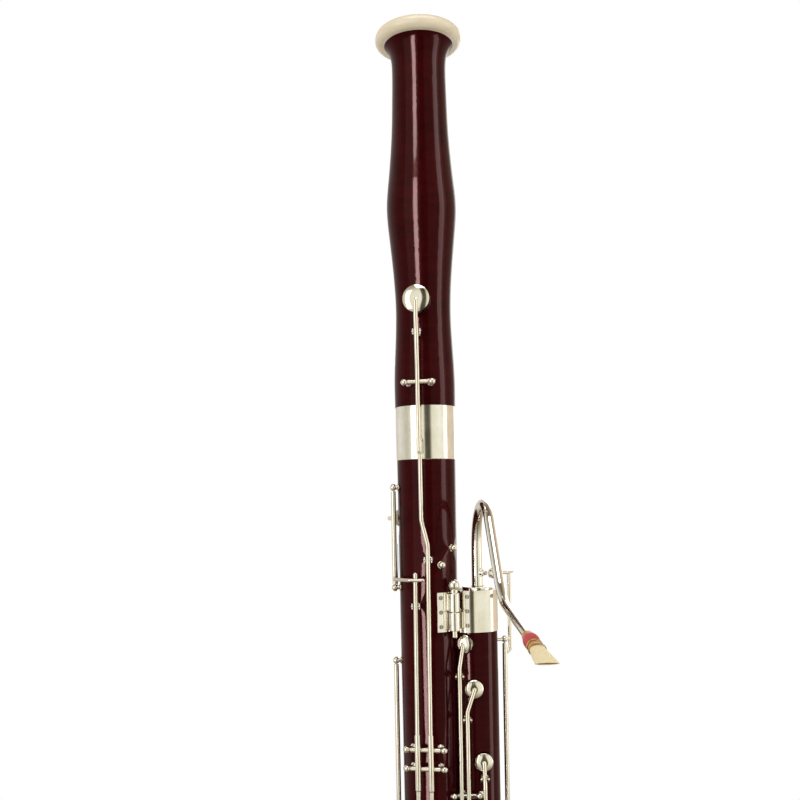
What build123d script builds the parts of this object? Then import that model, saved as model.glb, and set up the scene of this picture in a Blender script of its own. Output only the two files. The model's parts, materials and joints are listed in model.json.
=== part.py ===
from build123d import *

import os
from dataclasses import dataclass
from math import asin, atan2, cos, degrees, hypot, radians, sin

# A full-size bassoon standing upright on its boot cap. Millimetres, +Z up the instrument, origin at the
# centre of the cap's foot. The thumb side faces -Y, the fingers' side +Y, the long joint stands at -X and
# the wing joint at +X. Places round a joint are a bearing in degrees (0 is the thumb side, positive
# towards +X), a distance "out" from the joint's bore axis and a height z.

# ---------------------------------------------------------------- driving dimensions
BORE_SPACING = 38.0
LONG_AXIS = (-BORE_SPACING / 2, 0.0)
WING_AXIS = (BORE_SPACING / 2, 0.0)
WING_LOBE = (WING_AXIS[0] - 6.0, -3.5)
THUMB = -12.0

BOOT_TOP = 440.0
WING_TOP = 894.0
BELL_FOOT = 995.0
FERRULE_TOP = 1036.0
BELL_LIP = 1318.0
RING_TOP = 1328.5

LONG_R_FOOT = 21.0
LONG_R_TOP = 22.8
WING_R = 15.0
LOBE_R = 13.0
NEST_R = 23.3
BOOT_R_LONG = 25.0
BOOT_R_WING = 22.0

# hinges, rods and pads
PIN_R = 0.9
PIN_PLAY = 0.05
TUBE_R = 1.9
BALL_R = 2.6
END_PLAY = 0.3
ROD_R = 1.6
RIDE = 2.6
PAD_EDGE = 0.7
PAD_THICK = 3.2
CUP_WALL = 1.2
CLOSED = 0.2
SHANK = 5.0


def along(z, z0, value0, z1, value1):
    """Value at height z on the straight line from (z0, value0) to (z1, value1)."""
    return value0 + (value1 - value0) * (z - z0) / (z1 - z0)


def long_radius(z):
    """Outside radius of the long joint, which widens a little towards the bell."""
    return along(z, BOOT_TOP, LONG_R_FOOT, BELL_FOOT, LONG_R_TOP)


BOOT_TILT = degrees(asin((BOOT_R_LONG - BOOT_R_WING) / BORE_SPACING))


def boot_depth(x):
    """Distance from the bore plane to the boot's nearly flat front or back."""
    return along(x, LONG_AXIS[0], BOOT_R_LONG, WING_AXIS[0], BOOT_R_WING)


def station(axis, bearing, z=0.0, out=0.0):
    """Plane on a joint: local X runs round the joint, local Y up it and local Z straight out of it."""
    angle = radians(bearing)
    outward = Vector(sin(angle), -cos(angle), 0)
    return Plane(
        origin=Vector(axis[0], axis[1], z) + outward * out,
        x_dir=(cos(angle), sin(angle), 0),
        z_dir=outward,
    )


def spot(plane, lateral, z, out):
    """Point at a sideways offset, height and distance out in a station plane at z = 0."""
    return plane.from_local_coords(Vector(lateral, z, out))


def lane(plane, lateral, z, out):
    """The station plane moved to a sideways offset, height and distance out."""
    return Plane(origin=spot(plane, lateral, z, out), x_dir=plane.x_dir, z_dir=plane.z_dir)


def around(axis, bearing, out, z):
    """Point at a bearing, distance out and height round a joint."""
    return station(axis, bearing, z, out).origin


def turning_plane(plane):
    """The half plane in which a body turned about a plane's normal is drawn as (radius, height)."""
    return Plane(origin=plane.origin, x_dir=plane.x_dir, z_dir=-plane.y_dir)


# ---------------------------------------------------------------- hinges and posts
@dataclass
class Hinge:
    """A steel pin carried by two ball posts: across the joint, or along it."""

    axis: tuple
    bearing: float
    out: float
    z: float
    half: float
    across: bool = False
    lateral: float = 0.0

    def centre(self):
        return spot(station(self.axis, self.bearing), self.lateral, self.z, self.out)

    def direction(self):
        return station(self.axis, self.bearing).x_dir if self.across else Vector(0, 0, 1)

    def ball(self, side):
        return self.centre() + self.direction() * side * (self.half + END_PLAY + BALL_R)

    def rod_location(self):
        return Plane(origin=self.centre(), z_dir=self.direction()).location


def hinge_between(axis, bearing, out, z_low, z_high):
    """A hinge along the joint whose posts stand at two heights."""
    half = (z_high - z_low) / 2 - END_PLAY - BALL_R
    return Hinge(axis, bearing, out, (z_low + z_high) / 2, half)


def hinge_rod(hinge, radius, half):
    """A cylinder on the hinge's axis."""
    with BuildPart() as rod:
        with Locations(hinge.rod_location()):
            Cylinder(radius, 2 * half)
    return rod.part


def hinge_pin(hinge):
    """The steel pin, which ends just inside the far side of each ball."""
    return hinge_rod(hinge, PIN_R, hinge.half + END_PLAY + 1.8 * BALL_R)


def post(ball, axis, surface, ball_r=BALL_R):
    """A turned post: threaded shank in the wood, spreading foot, waisted neck and ball."""
    dx = ball.X - axis[0]
    dy = ball.Y - axis[1]
    height = hypot(dx, dy) - surface
    plane = station(axis, degrees(atan2(dx, -dy)), ball.Z, surface)
    neck_top = height - 0.8 * ball_r
    with BuildPart() as turned:
        with BuildSketch(turning_plane(plane)):
            with BuildLine():
                Polyline((0, -SHANK), (1.3, -SHANK), (1.3, -0.6), (2.7, -0.6), (2.7, 0.4))
                Line((2.7, 0.4), (1.4, min(1.4, neck_top)))
                Line((1.4, min(1.4, neck_top)), (1.4, height))
                Line((1.4, height), (0, height))
                Line((0, height), (0, -SHANK))
            make_face()
        revolve(axis=Axis(plane.origin, plane.z_dir))
        with Locations(ball):
            Sphere(ball_r)
    return turned.part


def drilled_posts(stands, hinges):
    """Posts for the given (ball, axis, surface) places, drilled for the hinges' pins."""
    turned = [post(ball, axis, surface) for ball, axis, surface in stands]
    drills = [hinge_pin(hinge) for hinge in hinges]
    with BuildPart() as posts:
        add(turned)
        add(drills, mode=Mode.SUBTRACT)
    return posts.part


def group(shapes):
    """Separate solids that share one node."""
    return Compound([solid for shape in shapes for solid in shape.solids()])


# ---------------------------------------------------------------- rods, pad cups and touches
def rod(points, bend=4.0, radius=ROD_R):
    """A round-ended rod bent through the given points."""
    with BuildPart() as bar:
        with BuildLine() as path:
            if len(points) == 2:
                Line(*points)
            else:
                FilletPolyline(*points, radius=bend)
        with BuildSketch(Plane(origin=path.line @ 0, z_dir=path.line % 0)):
            Circle(radius)
        sweep(path=path.line)
        with Locations(points[0], points[-1]):
            Sphere(radius)
    return bar.part


@dataclass
class Cup:
    """A round pad cup over a tone hole whose flat seat is `seat` out from the given axis."""

    axis: tuple
    bearing: float
    z: float
    seat: float
    radius: float
    gap: float = CLOSED

    def floor(self):
        """The plane of the pad's face."""
        return station(self.axis, self.bearing, self.z, self.seat + self.gap)

    def crown(self):
        """The point on top of the dome where the arm is soldered."""
        return around(self.axis, self.bearing, self.seat + self.gap + PAD_THICK + CUP_WALL, self.z)


def cup_shell(cup):
    """The domed metal cup, hollowed for its pad."""
    rim = 1.1
    top = PAD_THICK + CUP_WALL
    with BuildPart() as shell:
        with BuildSketch(turning_plane(cup.floor())):
            with BuildLine():
                Polyline((0, PAD_THICK), (cup.radius - PAD_EDGE, PAD_THICK), (cup.radius - PAD_EDGE, rim))
                Polyline((cup.radius - PAD_EDGE, rim), (cup.radius, rim), (cup.radius, PAD_THICK - 0.3))
                ThreePointArc(
                    (cup.radius, PAD_THICK - 0.3),
                    (0.72 * cup.radius, top - 0.35),
                    (0, top),
                )
                Line((0, top), (0, PAD_THICK))
            make_face()
        revolve(axis=Axis(cup.floor().origin, cup.floor().z_dir))
    return shell.part


def cup_pad(cup):
    """The pad glued in the cup: a disc with a rounded edge."""
    with BuildPart() as pad:
        with BuildSketch(cup.floor()):
            Circle(cup.radius - PAD_EDGE)
        extrude(amount=PAD_THICK)
        fillet(pad.faces().sort_by(Axis(cup.floor().origin, cup.floor().z_dir))[0].edges(), 0.5)
    return pad.part


def tone_hole(cup, hole_r, reach):
    """What the drill and the flat cutter take out of the wood under a pad cup."""
    pocket = 14.0
    with BuildPart() as cut:
        with BuildSketch(station(cup.axis, cup.bearing, cup.z, cup.seat)):
            Circle(cup.radius + 0.9)
        extrude(amount=pocket)
        with BuildSketch(station(cup.axis, cup.bearing, cup.z, cup.seat)):
            Circle(hole_r)
        extrude(amount=-reach)
    return cut.part


def touch(plane, width, length, thick=1.8):
    """A spatula for a finger, with softened edges; its foot lies on the plane."""
    with BuildPart() as plate:
        with BuildSketch(plane):
            RectangleRounded(width, length, 0.45 * min(width, length))
        extrude(amount=thick)
        fillet(plate.faces().sort_by(Axis(plane.origin, plane.z_dir))[-1].edges(), 0.6)
    return plate.part


def make_key(hinge, arms, cup=None, touches=(), blocks=()):
    """A key: hinge tube, bent arms, cup, pad and touches, drilled for its pin."""
    tube = hinge_rod(hinge, TUBE_R, hinge.half)
    hole = hinge_rod(hinge, PIN_R + PIN_PLAY, hinge.half + 2 * BALL_R)
    shells = [cup_shell(cup)] if cup else []
    pads = [cup_pad(cup)] if cup else []
    with BuildPart() as metal:
        add([tube, *arms, *blocks, *shells, *touches])
        add(hole, mode=Mode.SUBTRACT)
    return group([metal.part, *pads])


# ---------------------------------------------------------------- hinges of every key
LONG_THUMB = station(LONG_AXIS, THUMB)
WING_THUMB = station(WING_AXIS, 0)
LEVER_OUT = 26.8
LEVER_RISE = 4.2
THUMB_PITCH = 2 * (4.0 + END_PLAY + BALL_R)

HINGES = {
    "bell_key": Hinge(LONG_AXIS, THUMB, 28.0, 1053.0, 7.7, across=True),
    "b_flat_lever": Hinge(LONG_AXIS, THUMB, LEVER_OUT, 775.7, 11.4, across=True),
    "low_b_lever": Hinge(LONG_AXIS, THUMB, LEVER_OUT, 761.4, 11.4, across=True),
    "low_b_key": hinge_between(LONG_AXIS, -80.0, 26.6, 896.5, 974.0),
    "c_sharp_key": hinge_between(LONG_AXIS, -92.0, 26.4, 640.0, 839.0),
    "e_flat_key": hinge_between(LONG_AXIS, -135.0, 25.8, 546.0, 634.0),
    "low_c_key": hinge_between(LONG_AXIS, -75.0, 25.8, 532.0, 604.0),
    "low_d_key": Hinge(LONG_AXIS, THUMB, 26.0, 455.0, 7.0, across=True),
    "high_d_key": Hinge(WING_AXIS, 0.0, 20.6, 738.6, 1.6, across=True, lateral=-15.8),
    "high_c_key": Hinge(WING_AXIS, 0.0, 20.6, 738.6, 4.1, across=True, lateral=-9.8),
    "high_a_key": Hinge(WING_AXIS, 0.0, 20.6, 700.0, 2.4, across=True, lateral=1.2),
    "thumb_c_sharp_key": Hinge(WING_AXIS, 0.0, 20.4, 600.0, 5.0, across=True, lateral=2.0),
    "whisper_key": hinge_between(WING_AXIS, 110.0, 22.6, 640.0, 853.0),
    "pancake_key": hinge_between((20.0, 0.0), 0.0, 26.6, 378.0, 418.0),
    "b_flat_thumb_key": Hinge((-THUMB_PITCH, 0.0), 0.0, 28.9, 322.0, 4.0, across=True),
    "f_sharp_thumb_key": Hinge((0.0, 0.0), 0.0, 28.9, 322.0, 4.0, across=True),
    "g_sharp_thumb_key": Hinge((THUMB_PITCH, 0.0), 0.0, 28.9, 322.0, 4.0, across=True),
    "g_key": hinge_between(WING_AXIS, 128.0, 26.4, 292.0, 332.0),
    "f_sharp_key": hinge_between(WING_AXIS, 122.0, 26.4, 212.0, 282.0),
    "g_sharp_key": hinge_between(WING_AXIS, 122.0, 26.4, 108.0, 200.0),
    "low_f_key": hinge_between(LONG_AXIS, -134.0, 29.4, 112.0, 272.0),
}
LONG_KEYS = (
    "b_flat_lever",
    "low_b_lever",
    "low_b_key",
    "c_sharp_key",
    "e_flat_key",
    "low_c_key",
    "low_d_key",
)
FLICK_PAIR = Hinge(WING_AXIS, 0.0, 20.6, 738.6, 6.7, across=True, lateral=-12.4)
WING_KEYS = ("high_d_key", "high_c_key", "high_a_key", "thumb_c_sharp_key", "whisper_key")
BOOT_THUMB_KEYS = ("b_flat_thumb_key", "f_sharp_thumb_key", "g_sharp_thumb_key")
BOOT_KEYS = ("pancake_key", *BOOT_THUMB_KEYS, "g_key", "f_sharp_key", "g_sharp_key", "low_f_key")

CUPS = {
    "bell_key": Cup(LONG_AXIS, THUMB, 1115.3, 23.0, 10.2, gap=5.0),
    "low_b_key": Cup(LONG_AXIS, -128.0, 950.0, 21.0, 7.0, gap=3.4),
    "c_sharp_key": Cup(LONG_AXIS, -48.0, 690.0, 20.0, 7.5),
    "e_flat_key": Cup(LONG_AXIS, -103.0, 562.0, 19.6, 7.5),
    "low_c_key": Cup(LONG_AXIS, -32.0, 583.0, 19.4, 8.5, gap=3.4),
    "low_d_key": Cup(LONG_AXIS, THUMB, 494.0, 19.0, 9.0, gap=3.4),
    "high_d_key": Cup(WING_LOBE, -27.0, 853.5, 11.4, 7.0),
    "high_c_key": Cup(WING_LOBE, 3.0, 819.0, 11.4, 7.0),
    "high_a_key": Cup((WING_AXIS[0] + 1.2, 0.0), 0.0, 762.8, 13.8, 7.0),
    "thumb_c_sharp_key": Cup((WING_AXIS[0] + 2.0, 0.0), 0.0, 566.0, 13.6, 6.5),
    "pancake_key": Cup((0.0, 0.0), 0.0, 402.0, 22.4, 10.5, gap=3.4),
    "b_flat_thumb_key": Cup((-THUMB_PITCH, 0.0), 0.0, 270.0, 23.4, 7.0),
    "f_sharp_thumb_key": Cup((0.0, 0.0), 0.0, 240.0, 22.4, 7.0),
    "g_sharp_thumb_key": Cup((THUMB_PITCH, 0.0), 0.0, 206.0, 21.2, 7.0),
    "g_key": Cup(WING_AXIS, 176.0, 312.0, 20.6, 9.0, gap=3.0),
    "f_sharp_key": Cup(WING_AXIS, 74.0, 229.0, 20.0, 7.5),
    "g_sharp_key": Cup(WING_AXIS, 74.0, 126.0, 20.0, 7.5),
    "low_f_key": Cup(LONG_AXIS, -178.0, 140.0, 23.2, 11.5, gap=4.0),
}
TONE_HOLES = {
    "bell_key": (7.4, 9.0),
    "low_b_key": (4.6, 8.0),
    "c_sharp_key": (4.8, 8.0),
    "e_flat_key": (4.8, 8.0),
    "low_c_key": (5.8, 8.0),
    "low_d_key": (6.2, 8.0),
    "high_d_key": (1.6, 12.0),
    "high_c_key": (1.6, 10.0),
    "high_a_key": (1.6, 10.0),
    "thumb_c_sharp_key": (2.6, 10.0),
    "pancake_key": (5.0, 22.0),
    "b_flat_thumb_key": (4.6, 14.0),
    "f_sharp_thumb_key": (4.6, 22.0),
    "g_sharp_thumb_key": (4.6, 14.0),
    "g_key": (5.6, 14.0),
    "f_sharp_key": (4.6, 14.0),
    "g_sharp_key": (4.6, 14.0),
    "low_f_key": (8.0, 14.0),
}


def key_cuts(names):
    """Every tone hole of a joint, as one list of cutting tools."""
    return [tone_hole(CUPS[name], *TONE_HOLES[name]) for name in names if name in CUPS]


def long_stands(names):
    """Where the ball posts of the long joint's hinges stand."""
    stands = []
    for name in names:
        for side in (-1, 1):
            ball = HINGES[name].ball(side)
            stands.append((ball, LONG_AXIS, long_radius(ball.Z)))
    return stands


# ---------------------------------------------------------------- bell
BELL_OUTLINE = [
    (23.5, FERRULE_TOP),
    (23.6, 1054.0),
    (22.0, 1089.0),
    (21.4, 1112.0),
    (23.0, 1143.0),
    (25.7, 1171.0),
    (27.0, 1193.0),
    (25.4, 1212.0),
    (23.6, 1230.0),
    (22.0, 1253.0),
    (21.3, 1276.0),
    (20.9, 1298.0),
    (22.4, 1311.0),
    (26.7, BELL_LIP),
]
BELL_BORE_FOOT = 16.2
BELL_BORE_LIP = 17.3
SOCKET_R = 19.3
TENON_TOP = 1030.0
FERRULE_SEAT = 22.3
FERRULE_R = 23.1


def bell_rim_ring():
    """The raised metal rim round the bell's tone hole."""
    cup = CUPS["bell_key"]
    hole_r = TONE_HOLES["bell_key"][0]
    with BuildPart() as rim:
        with BuildSketch(station(cup.axis, cup.bearing, cup.z, cup.seat)):
            Circle(cup.radius - 0.6)
            Circle(hole_r, mode=Mode.SUBTRACT)
        extrude(amount=-4.0)
    return rim.part


def make_bell(cutters):
    """The turned wooden bell, with its bore, tenon socket and tone hole."""
    with BuildPart() as bell:
        with BuildSketch(turning_plane(Plane(origin=(LONG_AXIS[0], 0, 0)))):
            with BuildLine():
                Polyline(
                    (BELL_BORE_LIP, BELL_LIP),
                    (BELL_BORE_FOOT, TENON_TOP),
                    (SOCKET_R, TENON_TOP),
                    (SOCKET_R, BELL_FOOT),
                    (FERRULE_SEAT, BELL_FOOT),
                    (FERRULE_SEAT, FERRULE_TOP),
                    (BELL_OUTLINE[0]),
                )
                Spline(*BELL_OUTLINE, tangents=[(0, 1), (1, 0.9)])
                Line(BELL_OUTLINE[-1], (BELL_BORE_LIP, BELL_LIP))
            make_face()
        revolve(axis=Axis((LONG_AXIS[0], 0, 0), (0, 0, 1)))
        add(cutters, mode=Mode.SUBTRACT)
    return bell.part


def make_bell_ring():
    """The white lip ring: a thick moulding with rounded edges."""
    inner = 17.6
    outer = 33.5
    height = RING_TOP - BELL_LIP
    with BuildPart() as ring:
        with BuildSketch(Plane(origin=(LONG_AXIS[0], 0, BELL_LIP))):
            Circle(outer)
            Circle(inner, mode=Mode.SUBTRACT)
        extrude(amount=height)
        fillet(ring.edges().group_by(Axis.Z)[-1].sort_by(SortBy.LENGTH)[-1], 0.55 * height)
        fillet(ring.edges().group_by(Axis.Z)[0].sort_by(SortBy.LENGTH)[-1], 0.36 * height)
        fillet(ring.edges().group_by(Axis.Z)[-1].sort_by(SortBy.LENGTH)[0], 0.3 * height)
    return ring.part


def make_ferrule():
    """The plated band round the bell's foot."""
    with BuildPart() as band:
        with BuildSketch(Plane(origin=(LONG_AXIS[0], 0, BELL_FOOT))):
            Circle(FERRULE_R)
            Circle(FERRULE_SEAT, mode=Mode.SUBTRACT)
        extrude(amount=FERRULE_TOP - BELL_FOOT)
        chamfer(band.edges().group_by(Axis.Z)[0].sort_by(SortBy.LENGTH)[-1], 0.3)
    return band.part


def make_bell_key():
    """The long lever with the low B flat pad above its hinge."""
    hinge = HINGES["bell_key"]
    cup = CUPS["bell_key"]
    over = hinge.out + RIDE
    crown = cup.seat + cup.gap + PAD_THICK + CUP_WALL
    lever = rod(
        [
            spot(LONG_THUMB, 0, 1001.0, over - 1.0),
            spot(LONG_THUMB, 0, hinge.z - 12.0, over),
            spot(LONG_THUMB, 0, hinge.z + 12.0, over),
            spot(LONG_THUMB, 0, cup.z - 14.0, crown + 0.4),
            spot(LONG_THUMB, 0, cup.z - 2.0, crown + 0.2),
        ],
        bend=30.0,
    )
    blade = touch(station(LONG_AXIS, THUMB, 1005.0, over - 2.1), 4.6, 13.0, 1.4)
    return make_key(hinge, [lever], cup, [blade])


# ---------------------------------------------------------------- long joint
LONG_BORE_FOOT = 13.2
LONG_BORE_TOP = 15.8
LONG_TENON_FOOT = 403.0
LONG_TENON_R = 18.2
CORK_R = 19.2
STUD_OUT = 25.2


def make_long_joint(cutters):
    """The long joint with its two tenons."""
    with BuildPart() as joint:
        with BuildSketch(turning_plane(Plane(origin=(LONG_AXIS[0], 0, 0)))):
            with BuildLine():
                Polyline(
                    (LONG_BORE_FOOT, LONG_TENON_FOOT),
                    (LONG_TENON_R, LONG_TENON_FOOT),
                    (LONG_TENON_R, BOOT_TOP),
                    (LONG_R_FOOT, BOOT_TOP),
                    (LONG_R_TOP, BELL_FOOT),
                    (LONG_TENON_R, BELL_FOOT),
                    (LONG_TENON_R, TENON_TOP),
                    (LONG_BORE_TOP, TENON_TOP),
                    close=True,
                )
            make_face()
        revolve(axis=Axis((LONG_AXIS[0], 0, 0), (0, 0, 1)))
        add(cutters, mode=Mode.SUBTRACT)
    return joint.part


def cork_sleeve(axis, inner, outer, z_low, z_high):
    """A cork wrapped round a tenon."""
    with BuildPart() as sleeve:
        with BuildSketch(Plane(origin=(axis[0], axis[1], z_low))):
            Circle(outer)
            Circle(inner, mode=Mode.SUBTRACT)
        extrude(amount=z_high - z_low)
        chamfer(sleeve.edges().sort_by(SortBy.LENGTH)[-2:], 0.3)
    return sleeve.part


def thumb_lever(name, side, z_touch, tip):
    """One of the two long thumb levers, which ride side by side over both hinges."""
    hinge = HINGES[name]
    over = hinge.out + LEVER_RISE
    offset = 5.0 * side
    lever = rod(
        [
            spot(LONG_THUMB, offset, z_touch, 28.2),
            spot(LONG_THUMB, offset, 742.0, over),
            spot(LONG_THUMB, offset, 792.0, over),
            *tip,
        ],
        bend=12.0,
    )
    sleeve = rod([spot(LONG_THUMB, offset, 747.0, over), spot(LONG_THUMB, offset, 787.0, over)], radius=2.1)
    saddle = rod([spot(LONG_THUMB, offset, hinge.z, hinge.out), spot(LONG_THUMB, offset, hinge.z, over)])
    plate = touch(station(LONG_AXIS, THUMB + 12.5 * side, z_touch, 27.4), 9.5, 30.0)
    return make_key(hinge, [lever], None, [plate], [sleeve, saddle])


def make_b_flat_lever():
    """Carries the thumb's push up to the bell key, stepping sideways below the bell."""
    tip = [
        spot(LONG_THUMB, 5.0, 930.0, 27.9),
        spot(LONG_THUMB, 0.4, 949.0, 27.5),
        spot(LONG_THUMB, 0.0, 1008.0, 26.3),
    ]
    return thumb_lever("b_flat_lever", 1, 614.0, tip)


def make_low_b_lever():
    """Lifts the cross arm of the low B key."""
    tip = [spot(LONG_THUMB, -5.0, 880.0, 28.4), spot(LONG_THUMB, -5.0, 908.0, 27.6)]
    return thumb_lever("low_b_lever", -1, 614.0, tip)


def make_low_b_key():
    """Side rod with a cross arm over the low B lever and a pad at the back."""
    hinge = HINGES["low_b_key"]
    cup = CUPS["low_b_key"]
    cross = rod(
        [
            around(LONG_AXIS, -80.0, hinge.out, 904.0),
            around(LONG_AXIS, -56.0, 32.4, 904.0),
            spot(LONG_THUMB, -9.0, 904.0, 31.1),
            spot(LONG_THUMB, 1.0, 904.0, 31.1),
        ],
        bend=2.5,
        radius=1.4,
    )
    arm = side_arm(hinge, cup, LONG_AXIS)
    return make_key(hinge, [cross, arm], cup)


def side_arm(hinge, cup, axis, lift=1.5):
    """An arm from a rod along the joint round to the crown of its pad cup."""
    crown = cup.seat + cup.gap + PAD_THICK + CUP_WALL
    step = 0.4 * (cup.bearing - hinge.bearing)
    return rod(
        [
            around(axis, hinge.bearing, hinge.out, cup.z),
            around(axis, hinge.bearing + step, max(hinge.out, crown) + lift, cup.z),
            around(axis, cup.bearing, crown - 0.1, cup.z),
        ],
        bend=3.0,
    )


def side_touch(hinge, axis, bearing, z, out, width, length):
    """A touch at the end of an arm that reaches round the joint from a rod along it."""
    middle = 0.5 * (hinge.bearing + bearing)
    arm = rod(
        [
            around(axis, hinge.bearing, hinge.out, z),
            around(axis, middle, out + 2.0, z),
            around(axis, bearing, out + 0.9, z),
        ],
        bend=3.0,
    )
    return arm, touch(station(axis, bearing, z, out), width, length)


def make_side_key(name, axis, touch_bearing, touch_z, touch_out, width, length):
    """A key on a rod along the joint, with one pad and one touch."""
    hinge = HINGES[name]
    cup = CUPS[name]
    reach, plate = side_touch(hinge, axis, touch_bearing, touch_z, touch_out, width, length)
    return make_key(hinge, [side_arm(hinge, cup, axis), reach], cup, [plate])


def make_low_d_key():
    """The lowest thumb key: hinge, pad and touch in one line up the joint."""
    hinge = HINGES["low_d_key"]
    cup = CUPS["low_d_key"]
    crown = cup.seat + cup.gap + PAD_THICK + CUP_WALL
    lever = rod(
        [
            spot(LONG_THUMB, 0, hinge.z, hinge.out + 1.0),
            spot(LONG_THUMB, 0, hinge.z + 18.0, crown + 1.2),
            spot(LONG_THUMB, 0, cup.z + 8.0, crown + 0.6),
            spot(LONG_THUMB, 0, 522.0, 30.2),
        ],
        bend=8.0,
    )
    plate = touch(station(LONG_AXIS, THUMB, 522.0, 29.4), 12.0, 18.0)
    return make_key(hinge, [lever], cup, [plate])


# ---------------------------------------------------------------- lever guides and studs
GUIDE_HALF_GAP = 2.3
WING_GUIDES = ((-14.6, -2.0, 830.0, 12.6, 11.6), (-11.2, 0.0, 797.0, 14.1, 9.8), (1.2, 0.0, 752.0, 14.9, 8.6))


def lever_guide(plane, surface, height, aside=0.0):
    """A little forked post that keeps a long lever from swinging sideways; the fork may sit aside of its stem."""
    ear = 0.9
    deep = 4.4
    saddle = surface + height - deep
    with BuildPart() as guide:
        with BuildSketch(turning_plane(plane)):
            with BuildLine():
                Polyline(
                    (0, surface - SHANK),
                    (1.2, surface - SHANK),
                    (1.2, surface - 0.6),
                    (2.2, surface - 0.6),
                    (2.2, surface + 0.4),
                    (1.4, surface + 1.2),
                    (1.4, saddle),
                    (0, saddle),
                    close=True,
                )
            make_face()
        revolve(axis=Axis(plane.origin, plane.z_dir))
        with BuildSketch(plane.offset(saddle - 1.1)):
            with Locations((aside, 0)):
                Rectangle(2 * (GUIDE_HALF_GAP + ear), 3.2)
        extrude(amount=1.1)
        with BuildSketch(plane.offset(saddle - 1.1)):
            for side in (-1, 1):
                with Locations((aside + side * (GUIDE_HALF_GAP + ear / 2), 0)):
                    RectangleRounded(ear, 4.4, 0.44)
        extrude(amount=deep + 1.1)
        for side in (-1, 1):
            with Locations(plane.location * Location((aside + side * (GUIDE_HALF_GAP + ear / 2), 0, surface + height))):
                Sphere(ear)
    return guide.part


def make_bell_guide():
    """The fork under the bell lever."""
    frame = station(LONG_AXIS, THUMB, 1090.5)
    return lever_guide(frame, 21.8, 9.5)


def make_long_guides():
    """The forks under the two long thumb levers."""
    b_flat = lever_guide(lane(LONG_THUMB, 5.0, 919.0, 0), 21.6, 6.6)
    low_b = lever_guide(lane(LONG_THUMB, -5.0, 884.0, 0), 21.5, 7.0)
    return [b_flat, low_b]


def make_wing_guides():
    """The forks under the three flick key levers."""
    guides = []
    for lateral, aside, z, surface, height in WING_GUIDES:
        guides.append(lever_guide(lane(WING_THUMB, lateral, z, 0), surface, height, aside))
    return guides


def make_studs():
    """Two small ball-headed studs above the body lock."""
    stands = ((50.0, 927.0), (23.0, 914.6))
    return group([post(around(LONG_AXIS, b, STUD_OUT, z), LONG_AXIS, long_radius(z)) for b, z in stands])


# ---------------------------------------------------------------- wing joint
WING_BORE_TOP = 4.9
WING_BORE_FOOT = 7.4
WING_TENON_FOOT = 406.0
WING_TENON_R = 11.8
WING_CORK_R = 12.6
FIN_FOOT = 590.0
FIN_TOP = 836.0
FIN_REACH = 33.0
FIN_HALF = 9.5
FINGER_HOLES = ((792.0, 16.0), (752.0, 4.0), (690.0, -16.0))
RECEIVER_R = 6.9
RECEIVER_FOOT = 866.0
BAND_FOOT = 862.0


def wing_section(grow=0.0):
    """Outline of the wing joint: a round body with a lobe towards the long joint."""
    with BuildSketch() as section:
        with Locations(WING_AXIS):
            Circle(WING_R + grow)
        with Locations(WING_LOBE):
            Circle(LOBE_R + grow)
        make_hull()
        with Locations(LONG_AXIS):
            Circle(NEST_R, mode=Mode.SUBTRACT)
    return section.sketch


def wing_fin():
    """The thick fin on the fingers' side that the three finger holes are drilled through."""
    with BuildPart() as fin:
        with BuildSketch(Plane.YZ.offset(WING_AXIS[0])):
            with BuildLine():
                Line((6.0, FIN_FOOT - 12), (6.0, FIN_TOP + 12))
                Spline(
                    (6.0, FIN_TOP + 12),
                    (16.0, FIN_TOP),
                    (FIN_REACH - 3, FIN_TOP - 30),
                    (FIN_REACH, 740.0),
                    (FIN_REACH - 3, FIN_FOOT + 50),
                    (16.0, FIN_FOOT + 6),
                    (6.0, FIN_FOOT - 12),
                )
            make_face()
        extrude(amount=FIN_HALF, both=True)
        fillet(fin.faces().sort_by(Axis.X)[0].outer_wire().edges().sort_by(Axis.Y)[-1], 7.0)
        fillet(fin.faces().sort_by(Axis.X)[-1].outer_wire().edges().sort_by(Axis.Y)[-1], 7.0)
    return fin.part


def finger_drill(z, rise):
    """A finger hole drilled aslant from the fin's edge down to the bore."""
    start = Vector(WING_AXIS[0], FIN_REACH + 8, z)
    end = Vector(WING_AXIS[0], 0, z + rise)
    with BuildPart() as drill:
        with BuildSketch(Plane(origin=start, z_dir=end - start)):
            Circle(3.0)
        extrude(amount=(end - start).length)
    return drill.part


def make_wing_joint(cutters):
    """The wing joint with its tenon, tapering bore, fin and finger holes."""
    section = wing_section()
    fin = wing_fin()
    drills = [finger_drill(z, rise) for z, rise in FINGER_HOLES]
    with BuildPart() as joint:
        with BuildSketch(Plane.XY.offset(BOOT_TOP)):
            add(section)
        extrude(amount=WING_TOP - BOOT_TOP)
        add(fin)
        with BuildSketch(Plane(origin=(*WING_AXIS, WING_TENON_FOOT))):
            Circle(WING_TENON_R)
        extrude(amount=BOOT_TOP - WING_TENON_FOOT)
        with BuildSketch(turning_plane(Plane(origin=(*WING_AXIS, 0)))):
            with BuildLine():
                Polyline(
                    (0, WING_TENON_FOOT),
                    (WING_BORE_FOOT, WING_TENON_FOOT),
                    (WING_BORE_TOP, RECEIVER_FOOT),
                    (RECEIVER_R, RECEIVER_FOOT),
                    (RECEIVER_R, WING_TOP),
                    (0, WING_TOP),
                    close=True,
                )
            make_face()
        revolve(axis=Axis((*WING_AXIS, 0), (0, 0, 1)), mode=Mode.SUBTRACT)
        add([*drills, *cutters], mode=Mode.SUBTRACT)
    return joint.part


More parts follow.
